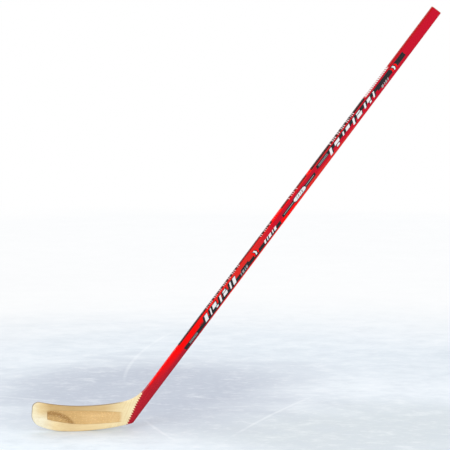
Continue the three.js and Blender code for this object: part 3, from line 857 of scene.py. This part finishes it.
def dashes_group():
    """Fine printed dashes round the shaft's upper narrow face, as masks of dark and white."""
    inputs = {"Along": "value", "Across": "value", "Depth": "value"}
    w, given, out = new_group("Edge dashes", inputs, {"Dark": "value", "White": "value"})
    along, upward = given["Along"], -given["Across"]

    def between(low, high):
        return along.step(low - 0.3, low + 0.3) * along.step(high + 0.3, high - 0.3)

    slanted = given["Depth"] * 0.12 + along
    fine, coarse = slanted.pingpong(3.1), slanted.pingpong(11.0)
    dark_rows = [between(*row) for row in DARK_ROWS]
    light_rows = w.most(*[between(*row) for row in LIGHT_ROWS])
    gaps = fine.step(1.9, 2.2) * coarse.step(3.0, 3.4)
    white = gaps * light_rows * (dark_rows[2] * 0.25 + 0.72)
    redder = w.most(between(590, 690), dark_rows[1] * 0.25)
    rules = along.pingpong(1.7).step(0.9, 1.1) * fine.step(2.1, 1.8) * (redder * 0.6 + 0.3)
    dark = w.most(*dark_rows) * (1.0 - w.most(white, rules, redder * 0.6))
    on_face = (upward + along.step(915, 934)).step(13.7, 14.1)
    ticks = between(1197, 1307) * (1.0 - slanted.pingpong(3.3).step(2.1, 2.5))
    w.give(out, Dark=dark * on_face,
           White=w.most(white * on_face, ticks * upward.step(13.8, 14.2)))
    return w.tree


def paint_edge_group():
    """Mask of the paint over the heel, with the saw-toothed edge that the masking tape left,
    and the streaks of the cloth that run beside it."""
    w, given, out = new_group("Paint edge", {"X": "value", "Z": "value", "Grain": "vector"},
                              {"Paint": "value", "Streaks": "value"})
    cos, sin = math.cos(PAINT_EDGE_ANGLE), math.sin(PAINT_EDGE_ANGLE)
    run, rise = given["X"] - PAINT_EDGE_FOOT[0], given["Z"] - PAINT_EDGE_FOOT[1]
    beside, up = run * sin + rise * -cos, run * cos + rise * sin
    teeth = (up.pingpong(3.63) * -1.4 + 2.54) * up.step(116, 80)
    bleed = (given["Grain"].noise(1.3) - 0.5) * 0.8
    edge = beside + teeth + bleed + up.step(60, 115) * -4.2
    strands = w.vector(up * 0.014, beside * 0.26, 0.0).noise(1.0, 3.0, 0.6)
    w.give(out, Paint=edge.step(-0.15, 0.15),
           Streaks=strands.step(0.40, 0.66) * beside.step(-68, -40))
    return w.tree


GROUPS = {}


def shader_groups():
    """The node groups by short name, made when they are first asked for."""
    if not GROUPS:
        GROUPS.update(places=places_group(), wood=wood_group(), weave=weave_group(),
                      wear=wear_group(), red=red_paint_group(), edge=paint_edge_group(),
                      dashes=dashes_group())
    return GROUPS


def empty_material(name):
    material = bpy.data.materials.new(name)
    material.use_nodes = True
    material.node_tree.nodes.clear()
    return material


class Surface(Wires):
    """A material with the stick's places and one Principled shader."""

    def __init__(self, name, gloss):
        self.material = empty_material(name)
        super().__init__(self.material.node_tree)
        self.shader = self.add("ShaderNodeBsdfPrincipled", {"Specular IOR Level": gloss})
        self.surface(Signal(self, self.shader.outputs[0]))
        self.places = self.group("places", Point=self.out("ShaderNodeTexCoord", key="Object"))

    def finish(self, tone, wear, height, depth):
        """Join colour, roughness and relief to the shader."""
        relief = self.out("ShaderNodeBump", {"Height": height, "Distance": depth,
                                             "Strength": 1.0})
        self.give(self.shader.inputs, Base_Color=tone, Roughness=wear["Roughness"],
                  Normal=relief)
        return self.material


def bare_wood(name, light, dark, figure, pores):
    """Bare or clear finished wood for the blade's solids."""
    w = Surface(name, 0.25)
    grain = w.places["Blade grain"]
    wood = w.group("wood", Grain=grain, Light=light, Dark=dark, Figure=figure, Pores=pores)
    wear = w.group("wear", Grain=grain, Base_roughness=0.55, Marks=0.3)
    return w.finish(wood["Colour"], wear, wood["Height"], 0.00008)


def ply_lines(places):
    """Dark glue lines between the plies, on the shaft's narrow faces and its end."""
    return 1.0 - places["Y"].pingpong(PLY_THICKNESS / 2).step(0.0, 0.09)


def shaft_wood(name, light, dark):
    """Wood of one ply, with the glue lines beside it."""
    w = Surface(name, 0.25)
    grain = w.places["Grain"]
    wood = w.group("wood", Grain=grain, Light=light, Dark=dark, Figure=0.9, Pores=0.7)
    wear = w.group("wear", Grain=grain, Base_roughness=0.6, Marks=0.2)
    glue = ply_lines(w.places)
    return w.finish(w.coats(wood["Colour"], (glue * 0.6, (120, 78, 44))), wear,
                    wood["Height"] + glue * -1.2, 0.00008)


def shaft_paint_material():
    """Sprayed paint with the plies faint under it, and the fine print of the narrow face."""
    w = Surface("Shaft paint", 0.06)
    places = w.places
    along, across, grain = places["Along"], places["Across"], places["Grain"]
    red = w.group("red", Along=along, Across=across, Grain=grain)
    wear = w.group("wear", Grain=grain, Base_roughness=0.34, Marks=0.8)
    dashes = w.group("dashes", Along=along, Across=across, Depth=places["Y"])
    lines = ply_lines(places) * across.size().step(14.3, 14.8)
    far_strip = (-across).step(12.0, 13.4) * along.step(940, 1180)
    dull = along.step(585, 595) * along.step(700, 690) * (-across).step(14.5, 14.9)
    tone = w.coats(red["Colour"], (far_strip * 0.9, (184, 6, 4)), (dull * 0.9, (128, 5, 8)),
                   (lines * 0.35, (120, 6, 12)), (wear["Scratch"] * 0.3, (226, 96, 96)),
                   (dashes["Dark"], (20, 19, 20)), (dashes["White"], (238, 236, 234)))
    ink = w.most(dashes["Dark"], dashes["White"])
    return w.finish(tone, wear, wear["Height"] * 0.25 + lines * -0.8 + ink * 0.4, 0.00004)


def ramp(w, value, low, high, stops):
    """Colours along a value, each stop given as (value, screen colour)."""
    share = w.out("ShaderNodeMapRange", {"Value": value, "From Min": low, "From Max": high},
                  "Result")
    node = w.add("ShaderNodeValToRGB", {"Fac": share})
    ramp_stops = node.color_ramp.elements
    for index, (at, tone) in enumerate(stops):
        place = (at - low) / (high - low)
        stop = ramp_stops[index] if index < 2 else ramp_stops.new(place)
        stop.position = place
        stop.color = colour(*tone)
    return Signal(w, node.outputs["Color"])


# Tones along the blade, by X, darker in its middle than at the toe and the heel, and darker in the
# upper half than in the lower: the upper half's tones and the lower half's
UPPER_TONES = [(-120, (252, 240, 204)), (155, (255, 241, 198)), (-100, (243, 219, 168)),
               (-72, (213, 181, 128)), (-8, (206, 175, 122)), (85, (225, 196, 144))]
LOWER_TONES = [(-95, (255, 248, 222)), (135, (255, 241, 198)), (-60, (251, 230, 183)),
               (-15, (239, 213, 164)), (60, (247, 225, 176))]
FIGURE_CENTRE = (-72.5, -20.9)


def blade_finish_material():
    """Lacquered blade: pale rails and toe, woven panel, and the painted heel."""
    w = Surface("Blade finish", 0.12)
    places = w.places
    x, z, grain = places["X"], places["Z"], places["Blade grain"]
    rails = w.mix(z.step(30, 62), ramp(w, x, -125.0, 165.0, LOWER_TONES),
                  ramp(w, x, -125.0, 165.0, UPPER_TONES))
    rail_wood = w.group("wood", Grain=grain, Light=(1, 1, 1, 1), Dark=colour(222, 204, 176),
                        Figure=0.5, Pores=0.2)
    pale = w.mix(1.0, rails, rail_wood["Colour"], blend="MULTIPLY")

    # Seams round the panel: below it, above it, at the toe's side and, wandering, at the heel's
    toe_bend, heel_bend = 0.5 / SOLE_SEAM_TOE_RADIUS, 0.5 / SOLE_SEAM_HEEL_RADIUS
    low_run, high_run = x - SOLE_SEAM_LOW[0], x - TOP_SEAM_HIGH[0]
    bend = w.math("GREATER_THAN", low_run, 0.0) * (heel_bend - toe_bend) + toe_bend
    low_gap = z + low_run * low_run * bend * -1.0 - SOLE_SEAM_LOW[1]
    high_gap = z + high_run * high_run * (0.5 / TOP_SEAM_RADIUS) - TOP_SEAM_HIGH[1]
    wander = (grain.noise(0.09, 3.0) - 0.5) * 10.0
    behind_toe = x.step(TOE_SEAM_AT - 0.4, TOE_SEAM_AT + 0.4)
    under_top = high_gap.step(0.4, -0.4)
    before_heel = (x + wander).step(141, 124)
    panel = low_gap.step(-0.4, 0.4) * behind_toe * under_top * before_heel
    lines = [1.0 - gap.size().step(0.1, 0.7) for gap in (x - TOE_SEAM_AT, high_gap, low_gap)]
    seam = w.most(lines[0] * low_gap.step(-1.0, 1.0) * under_top,
                  lines[1] * behind_toe * before_heel, lines[2] * behind_toe * before_heel)

    weave = w.group("weave", Grain=grain, Pitch=3.1)
    panel_wood = w.group("wood", Grain=grain, Light=colour(232, 193, 133),
                         Dark=colour(204, 156, 94), Figure=0.7, Pores=0.3)
    arc_x, arc_z = x - FIGURE_CENTRE[0], z - FIGURE_CENTRE[1]
    arc = w.math("SQRT", arc_x * arc_x + arc_z * arc_z) + wander * 0.35
    figure = w.most(arc.step(60, 75) * arc.step(86, 77) * 0.85, arc.step(84, 68) * 0.24)
    # Painted shade: the panel darkens towards the blade's top edge and towards the toe
    panel_painted_shade = w.most(x.step(45, -15), z.step(46, 58) * 0.95)
    # Slub and weave brighten the panel partly as the glass cloth's own pale strands and partly as
    # painted glint; the specks are painted glints
    slub = grain.noise((0.22, 0.34, 0.3), 2.0, 0.6, 1.5).step(0.52, 0.72)
    painted_speck_glints = grain.noise((0.22, 0.4, 0.3), 0.0).step(0.69, 0.76)
    weave_and_painted_glint = slub * 0.30 + weave["Weave"] * 0.26
    woven = w.coats(panel_wood["Colour"], (panel_painted_shade * 0.8, (203, 161, 100)),
                    (figure, (152, 107, 50)), (weave_and_painted_glint, (250, 226, 178)),
                    (painted_speck_glints * 0.5, (255, 218, 150)))

    from_edge = w.out("ShaderNodeAttribute", key="Fac", attribute_name="from_edge")
    # Painted shade: a grey-brown line darkens the faces next to the blade's top edge and the toe's
    # edge, where the rounded edges turn from the light
    high = w.most(z.step(45, 60) * x.step(150, 120),
                  x.step(-108, -119) * z.step(14, 30) * 0.8)
    rim = from_edge.step(1.6, 0.5) * high
    edge = w.group("edge", X=x, Z=z, Grain=grain)
    paint = edge["Paint"]
    wear = w.group("wear", Grain=grain, Base_roughness=0.36, Marks=0.6)
    blade = w.coats(w.mix(panel, pale, woven), (seam * 0.45, (150, 112, 70)),
                    (rim * 0.75, (112, 92, 72)), (edge["Streaks"] * 0.55, (232, 205, 150)),
                    (wear["Scratch"] * 0.3, (186, 152, 108)))
    red = w.group("red", Along=places["Along"], Across=places["Across"], Grain=places["Grain"])
    relief = (weave["Height"] * panel * 0.35 + rail_wood["Height"] * 0.12 + seam * -0.5
              + paint * 0.7 + wear["Height"] * 0.15)
    return w.finish(w.mix(paint, blade, red["Colour"]), wear, relief, 0.00007)


def print_material(name, tone, roughness):
    """Screen-printed ink with fine screen texture and a little wear."""
    w = Surface(name, 0.08)
    grain = w.places["Grain"]
    wear = w.group("wear", Grain=grain, Base_roughness=roughness, Marks=0.8)
    mottle = grain.noise((0.3, 0.3, 0.3), 3.0).step(0.45, 0.8)
    inked = w.coats((*tone, 1), (mottle * 0.18, (120, 96, 98)),
                    (wear["Scratch"] * 0.5, (170, 40, 46)))
    return w.finish(inked, wear, wear["Height"], 0.00002)


def blade_cloth_material():
    """Woven glass in resin, for the laminates under the coats."""
    w = Surface("Glass cloth", 0.4)
    grain = w.places["Blade grain"]
    weave = w.group("weave", Grain=grain, Pitch=2.4)
    wear = w.group("wear", Grain=grain, Base_roughness=0.3, Marks=0.3)
    tone = w.coats(colour(226, 204, 158), (weave["Weave"], (250, 238, 206)))
    return w.finish(tone, wear, weave["Height"], 0.0001)


# Patches of ice, in places turned with the camera: centre and half sizes, share and colour
ICE_PATCHES = [((-0.20, -0.22, 0.62, 0.50), 0.95, (0.60, 0.66, 0.70)),
               ((-0.78, 0.36, 0.56, 0.60), 1.0, (0.475, 0.52, 0.61)),
               ((-1.02, -0.56, 0.55, 0.34), 0.85, (0.80, 0.875, 0.94))]
# Skate lines: circle's centre and radius, and the centre and half sizes of the part that shows
SKATE_LINES = [((1.57, 0.55, 2.46), (-0.85, 1.00, 0.30, 0.58)),
               ((1.57, 0.55, 2.46), (-0.78, -0.22, 0.12, 0.22)),
               ((3.92, -1.81, 4.73), (-0.45, 0.00, 0.27, 0.50)),
               ((-0.724, 1.339, 1.168), (-1.22, 0.29, 0.16, 0.16))]
FROST = (0.92, 0.95, 0.98, 1)


def floor_material(stage):
    """Pale ice that fades to the white of the background away from the stick."""
    material = empty_material("Pale floor")
    w = Wires(material.node_tree)
    place = {"Vector": w.out("ShaderNodeTexCoord", key="Object"), "Angle": -stage.azimuth}
    point = w.out("ShaderNodeVectorRotate", place, rotation_type="Z_AXIS")
    across_view, into_view, _ = w.parts(point)
    clouds = point.noise((0.9, 1.8, 1.0), 5.0, 0.6, 0.8)
    mottle = point.noise((12.0, 15.0, 1.0), 5.0, 0.7)
    speckle = point.noise((34.0, 44.0, 1.0), 2.0, 0.7)

    def reach(centre_x, centre_y, half_x, half_y):
        run = (across_view - centre_x) * (1 / half_x)
        rise = (into_view - centre_y) * (1 / half_y)
        return w.math("SQRT", run * run + rise * rise)

    drift = (clouds - 0.5) * 1.1
    tone = w.mix(clouds.step(0.35, 0.7), (*stage.floor, 1), (0.78, 0.835, 0.89, 1))
    for area, share, patch_tone in ICE_PATCHES:
        patch = (reach(*area) + drift).step(1.25, 0.35)
        tone = w.mix(patch * share, tone, (*patch_tone, 1))
    tone = w.mix(mottle.step(0.48, 0.76) * 0.36, tone, FROST)
    tone = w.mix(mottle.step(0.54, 0.30) * 0.32, tone, (0.58, 0.64, 0.71, 1))
    tone = w.mix(speckle.step(0.50, 0.82) * 0.26, tone, FROST)
    for (centre_x, centre_y, radius), stretch in SKATE_LINES:
        ring = (reach(centre_x, centre_y, 1, 1) - radius).size().step(0.009, 0.001)
        line = ring * reach(*stretch).step(1.0, 0.4) * mottle.step(0.3, 0.5)
        tone = w.mix(line * 0.27, tone, (0.94, 0.97, 1.0, 1))
    shader = w.out("ShaderNodeBsdfPrincipled", {
        "Base Color": tone, "Roughness": clouds * 0.3 + 0.35, "Specular IOR Level": 0.1})
    white = w.out("ShaderNodeEmission", {"Color": (1, 1, 1, 1), "Strength": 1.0})
    far = reach(-0.5, 0.0, 1, 1) + drift * 0.35
    share = w.most(far.step(1.05, 2.2) * 0.85, far.step(2.6, 4.2)) * w.seen()
    w.surface(w.out("ShaderNodeMixShader", {0: share, 1: shader, 2: white}))
    return material


def give_material(piece, material):
    piece.data.materials.clear()
    piece.data.materials.append(material)


# ---- Prints on the wide faces ------------------------------------------------------------

def face_place(along, across, y):
    x, z = on_shaft(along, across)
    return to_frame(x, y, z)


def cut_slanted(along, across, lean, keep_upper):
    """Trim the piece in edit mode at a plane through a place, its upper end leaned forward."""
    turn = SHAFT_LEAN - math.pi / 2 - math.atan(lean)
    line = Vector((math.cos(turn), 0.0, math.sin(turn)))
    normal = Vector((-line.z, 0.0, line.x))
    if normal.dot(UP_SHAFT) < 0:
        normal = -normal
    bpy.ops.mesh.select_all(action="SELECT")
    bpy.ops.mesh.bisect(plane_co=face_place(along, across, 0.0), plane_no=normal, use_fill=True,
                        clear_inner=keep_upper, clear_outer=not keep_upper)


def ink_plate(start, end, top, bottom, layer, start_lean, end_lean):
    """A printed plate on the front face, its two ends leaned; places are along and across."""
    sizes = bpy.context.scene.stick_sizes
    paint, ink = 1000 * sizes.paint_thickness, 1000 * sizes.print_thickness
    middle_line = (top + bottom) / 2
    spare = abs(bottom - top) / 2 * max(abs(start_lean), abs(end_lean)) + PLATE_SPARE
    face = SHAFT_THICKNESS / 2 + paint
    low, high = face - INK_SINK + ink * layer, face + ink * (layer + 1)
    deselect_all()
    bpy.ops.mesh.primitive_cube_add(
        size=1, location=face_place((start + end) / 2, middle_line, -(low + high) / 2),
        rotation=(0.0, -SHAFT_LEAN, 0.0),
        scale=((end - start + 2 * spare) / 1000, (high - low) / 1000, (bottom - top) / 1000))
    plate = bpy.context.active_object
    bpy.ops.object.transform_apply(location=True, rotation=True, scale=True)
    bpy.ops.object.mode_set(mode="EDIT")
    cut_slanted(start, middle_line, start_lean, True)
    cut_slanted(end, middle_line, end_lean, False)
    bpy.ops.object.mode_set(mode="OBJECT")
    return plate


def band_plates(bands, layer):
    """Plates of bands, each given by its four sides and the leans of its two ends."""
    return [ink_plate(*sides, layer, *leans) for *sides, leans in bands]


def bar_plates(bars, top, bottom, layer=1, lean=MARK_LEAN):
    """Plates of a row of bars, each given by where it starts and how wide it is."""
    return [ink_plate(start, start + width, top, bottom, layer, lean, lean)
            for start, width in bars]


def chevron_plates(places, shift, width):
    """Plates of the chevrons at these places in each group, each of two leaned halves."""
    plates = []
    for first, middle_line, rise in CHEVRONS:
        for place in places:
            start = first + CHEVRON_PITCH * place + shift
            for top, lean in ((middle_line - rise, -CHEVRON_LEAN), (middle_line, CHEVRON_LEAN)):
                plates.append(ink_plate(start, start + width, top, top + rise, 1, lean, lean))
    return plates


def join_plates(name, plates):
    deselect_all()
    for plate in plates:
        plate.select_set(True)
    bpy.context.view_layer.objects.active = plates[0]
    bpy.ops.object.join()
    piece = bpy.context.active_object
    piece.name = piece.data.name = name
    return piece


def follow_planed_face(piece):
    """Turn what lies below the planed part's upper end down onto the tapered face."""
    select_only(piece)
    bpy.ops.object.mode_set(mode="EDIT")
    bpy.ops.mesh.select_all(action="SELECT")
    line = face_place(PLANED_TO, 0.0, -SHAFT_THICKNESS / 2)
    bpy.ops.mesh.bisect(plane_co=line, plane_no=UP_SHAFT)
    bpy.ops.mesh.select_all(action="DESELECT")
    bpy.ops.mesh.select_mode(type="VERT")
    bpy.ops.object.mode_set(mode="OBJECT")
    for vertex in piece.data.vertices:
        vertex.select = (vertex.co - line).dot(UP_SHAFT) < -1e-6
    bpy.ops.object.mode_set(mode="EDIT")
    slope = math.atan((SHAFT_THICKNESS - HEEL_THICKNESS) / 2 / (PLANED_TO - PLANED_FROM))
    across_line = Vector((ACROSS[0], 0.0, ACROSS[1]))
    matrix = (UP_SHAFT, Vector((0.0, 1.0, 0.0)), across_line)
    bpy.ops.transform.rotate(value=slope, orient_axis="Z", orient_type="GLOBAL",
                             orient_matrix=matrix, orient_matrix_type="GLOBAL",
                             center_override=line)
    bpy.ops.object.mode_set(mode="OBJECT")


def print_both_faces(name, plates, material):
    """Join plates into a front print and turn a copy of it over onto the back face."""
    front = join_plates(name + "_front", plates)
    follow_planed_face(front)
    recalculate_outside(front)
    give_material(front, material)
    select_only(front)
    bpy.ops.object.duplicate()
    back = bpy.context.active_object
    back.name = back.data.name = name + "_back"
    bpy.ops.transform.mirror(constraint_axis=(False, True, False), orient_type="GLOBAL",
                             center_override=(0.0, 0.0, 0.0))
    bpy.ops.object.transform_apply(location=True, rotation=True, scale=True)
    recalculate_outside(back)
    for piece in (front, back):
        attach(piece, "root")


# ---- Operators ---------------------------------------------------------------------------

class STICK_OT_blade_finish(bpy.types.Operator):
    """Make the glass cloth and lacquer over the blade and heel"""
    bl_idname = "stick.blade_finish"
    bl_label = "Blade finish"

    def execute(self, context):
        piece = coat_shell("blade_finish", blade_sections(), True)
        give_material(piece, blade_finish_material())
        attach(piece, "root")
        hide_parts("blade_cloth_front", "blade_cloth_back")
        return {"FINISHED"}


class STICK_OT_shaft_paint(bpy.types.Operator):
    """Make the paint over the shaft"""
    bl_idname = "stick.shaft_paint"
    bl_label = "Shaft paint"

    def execute(self, context):
        piece = coat_shell("shaft_paint", shaft_sections(blade_sections()[-1]), False)
        give_material(piece, shaft_paint_material())
        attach(piece, "root")
        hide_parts("shaft_glass_front", "shaft_glass_back")
        return {"FINISHED"}


class STICK_OT_wood(bpy.types.Operator):
    """Give the solids that stay their wood and laminate"""
    bl_idname = "stick.wood"
    bl_label = "Wood"

    def execute(self, context):
        plies = [shaft_wood("Shaft birch", colour(232, 203, 158), colour(188, 146, 96)),
                 shaft_wood("Shaft aspen", colour(240, 219, 182), colour(206, 172, 124))]
        pale = bare_wood("Toe poplar", colour(250, 238, 206), colour(222, 196, 148), 0.6, 0.2)
        rail = bare_wood("Rail birch", colour(238, 214, 168), colour(196, 160, 108), 0.7, 0.3)
        core = bare_wood("Core ash", colour(226, 190, 132), colour(168, 124, 72), 1.0, 0.8)
        cloth = blade_cloth_material()
        for name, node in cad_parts.items():
            if name.startswith("shaft_ply_"):
                give_material(node, plies[int(name[-2:]) % 2])
            elif "rail" in name:
                give_material(node, rail)
            elif name == "blade_core":
                give_material(node, core)
            elif name.startswith(("heel_", "blade_toe")):
                give_material(node, pale)
            elif name.startswith(("blade_cloth", "shaft_glass")):
                give_material(node, cloth)
        return {"FINISHED"}


class STICK_OT_dark_print(bpy.types.Operator):
    """Print the anthracite bands and the backing of the bars"""
    bl_idname = "stick.dark_print"
    bl_label = "Dark print"

    def execute(self, context):
        plates = band_plates(DARK_BANDS + DARK_LINES, 0)
        plates += chevron_plates((0, 1), CHEVRON_WIDTH, CHEVRON_PITCH - CHEVRON_WIDTH)
        leans = (BAR_LEAN, BAR_LEAN)
        before, behind, above, below = LOWER_BACKING
        plates += band_plates([(start - before, start + width + behind, top - above,
                                min(bottom + below, LOWER_BAND_TOP), leans)
                               for start, width, top, bottom in LOWER_BARS
                               if top < LOWER_BAND_TOP], 0)
        before, behind, above, below = UPPER_BACKING
        plates += band_plates([(start - before, start + width + behind,
                                max(top - above, UPPER_BAND_FOOT), bottom + below, leans)
                               for start, width, top, bottom in UPPER_BARS
                               if bottom > UPPER_BAND_FOOT], 0)
        tone = context.scene.stick_colours.anthracite
        print_both_faces("dark_print", plates, print_material("Anthracite ink", tone, 0.4))
        return {"FINISHED"}


class STICK_OT_white_print(bpy.types.Operator):
    """Print the white bars and the plain label"""
    bl_idname = "stick.white_print"
    bl_label = "White print"

    def execute(self, context):
        plates = [ink_plate(start, start + width, top, bottom, 1, BAR_LEAN, BAR_LEAN)
                  for start, width, top, bottom in LOWER_BARS + UPPER_BARS]
        plates += bar_plates(*CODE_ROW, lean=BAR_LEAN) + band_plates(WHITE_LABEL, 1)
        tone = context.scene.stick_colours.white
        print_both_faces("white_print", plates, print_material("White ink", tone, 0.38))
        return {"FINISHED"}


class STICK_OT_grey_print(bpy.types.Operator):
    """Print the small pale marks and the cores of the fine lines"""
    bl_idname = "stick.grey_print"
    bl_label = "Grey print"

    def execute(self, context):
        plates = bar_plates(*SMALL_ROW) + band_plates(GREY_LINES, 1)
        plates += bar_plates(*LABEL_ROW, layer=2)
        print_both_faces("grey_print", plates, print_material("Grey ink", GREY_INK, 0.4))
        return {"FINISHED"}


class STICK_OT_red_print(bpy.types.Operator):
    """Print the small groups of red and white chevrons"""
    bl_idname = "stick.red_print"
    bl_label = "Red print"

    def execute(self, context):
        colours = context.scene.stick_colours
        red = chevron_plates((0, 2), 0.0, CHEVRON_WIDTH)
        white = chevron_plates((1,), 0.0, CHEVRON_WIDTH)
        print_both_faces("red_chevrons", red,
                         print_material("Red ink", colours.bright_red, 0.38))
        print_both_faces("white_chevrons", white,
                         print_material("White chevron ink", colours.white, 0.38))
        return {"FINISHED"}


def pale_world():
    """White where it is seen, and a softer white as light on the stick."""
    world = bpy.data.worlds.new("Pale studio")
    world.use_nodes = True
    world.node_tree.nodes.clear()
    w = Wires(world.node_tree)
    strength = w.seen() * (1.0 - WORLD_LIGHT) + WORLD_LIGHT
    shade = w.out("ShaderNodeBackground", {"Color": (1, 1, 1, 1), "Strength": strength})
    w.surface(shade, "ShaderNodeOutputWorld")
    return world


class STICK_OT_stage(bpy.types.Operator):
    """Make the floor, the light and the camera"""
    bl_idname = "stick.stage"
    bl_label = "Stage"

    def execute(self, context):
        stage = context.scene.stick_stage
        low, high = CAD_BOX
        middle_x = (low.x + high.x) / 2
        deselect_all()
        bpy.ops.mesh.primitive_circle_add(vertices=96, radius=FLOOR_RADIUS, fill_type="NGON",
                                          location=(middle_x, 0, low.z - FLOOR_GAP))
        floor = context.active_object
        floor.name = "pale_floor"
        bpy.ops.object.transform_apply(location=True, rotation=True, scale=True)
        give_material(floor, floor_material(stage))
        context.scene.world = pale_world()

        for name, offset, size, power in SOFT_LIGHTS:
            bpy.ops.object.light_add(type="AREA", location=CAMERA_AIM + Vector(offset))
            lamp = context.active_object
            lamp.name = name
            lamp.data.size = size
            lamp.data.energy = power
            lamp.rotation_euler = (-Vector(offset)).to_track_quat("-Z", "Y").to_euler()

        a, e = stage.azimuth, stage.elevation
        back = Vector((math.sin(a) * math.cos(e), -math.cos(a) * math.cos(e), math.sin(e)))
        bpy.ops.object.camera_add(location=CAMERA_AIM + back * stage.distance)
        camera = context.active_object
        camera.rotation_euler = (-back).to_track_quat("-Z", "Y").to_euler()
        camera.data.lens = stage.lens
        camera.data.sensor_width = SENSOR_WIDTH
        camera.data.clip_end = CLIP_END
        context.scene.camera = camera
        context.scene.view_settings.view_transform = "Standard"
        return {"FINISHED"}


class STICK_PT_panel(bpy.types.Panel):
    bl_label = "Ice hockey stick"
    bl_idname = "STICK_PT_panel"
    bl_space_type = "VIEW_3D"
    bl_region_type = "UI"
    bl_category = "Stick"

    def draw(self, context):
        scene = context.scene
        for group in (scene.stick_sizes, scene.stick_colours, scene.stick_stage):
            box = self.layout.box()
            for name in group.bl_rna.properties.keys():
                if name not in ("rna_type", "name"):
                    box.prop(group, name)
        for operator in OPERATORS:
            self.layout.operator(operator.bl_idname)


GROUP_TYPES = {"stick_sizes": StickSizes, "stick_colours": StickColours, "stick_stage": StickStage}
OPERATORS = [STICK_OT_blade_finish, STICK_OT_shaft_paint, STICK_OT_dark_print,
             STICK_OT_white_print, STICK_OT_grey_print, STICK_OT_red_print, STICK_OT_wood,
             STICK_OT_stage]


def register():
    for name, group in GROUP_TYPES.items():
        bpy.utils.register_class(group)
        setattr(bpy.types.Scene, name, bpy.props.PointerProperty(type=group))
    for operator in OPERATORS:
        bpy.utils.register_class(operator)
    bpy.utils.register_class(STICK_PT_panel)


def unregister():
    bpy.utils.unregister_class(STICK_PT_panel)
    for operator in reversed(OPERATORS):
        bpy.utils.unregister_class(operator)
    for name, group in GROUP_TYPES.items():
        delattr(bpy.types.Scene, name)
        bpy.utils.unregister_class(group)


def main():
    register()
    bpy.ops.stick.blade_finish()
    bpy.ops.stick.shaft_paint()
    bpy.ops.stick.dark_print()
    bpy.ops.stick.white_print()
    bpy.ops.stick.grey_print()
    bpy.ops.stick.red_print()
    bpy.ops.stick.wood()
    bpy.ops.stick.stage()


if __name__ == "__main__":
    main()
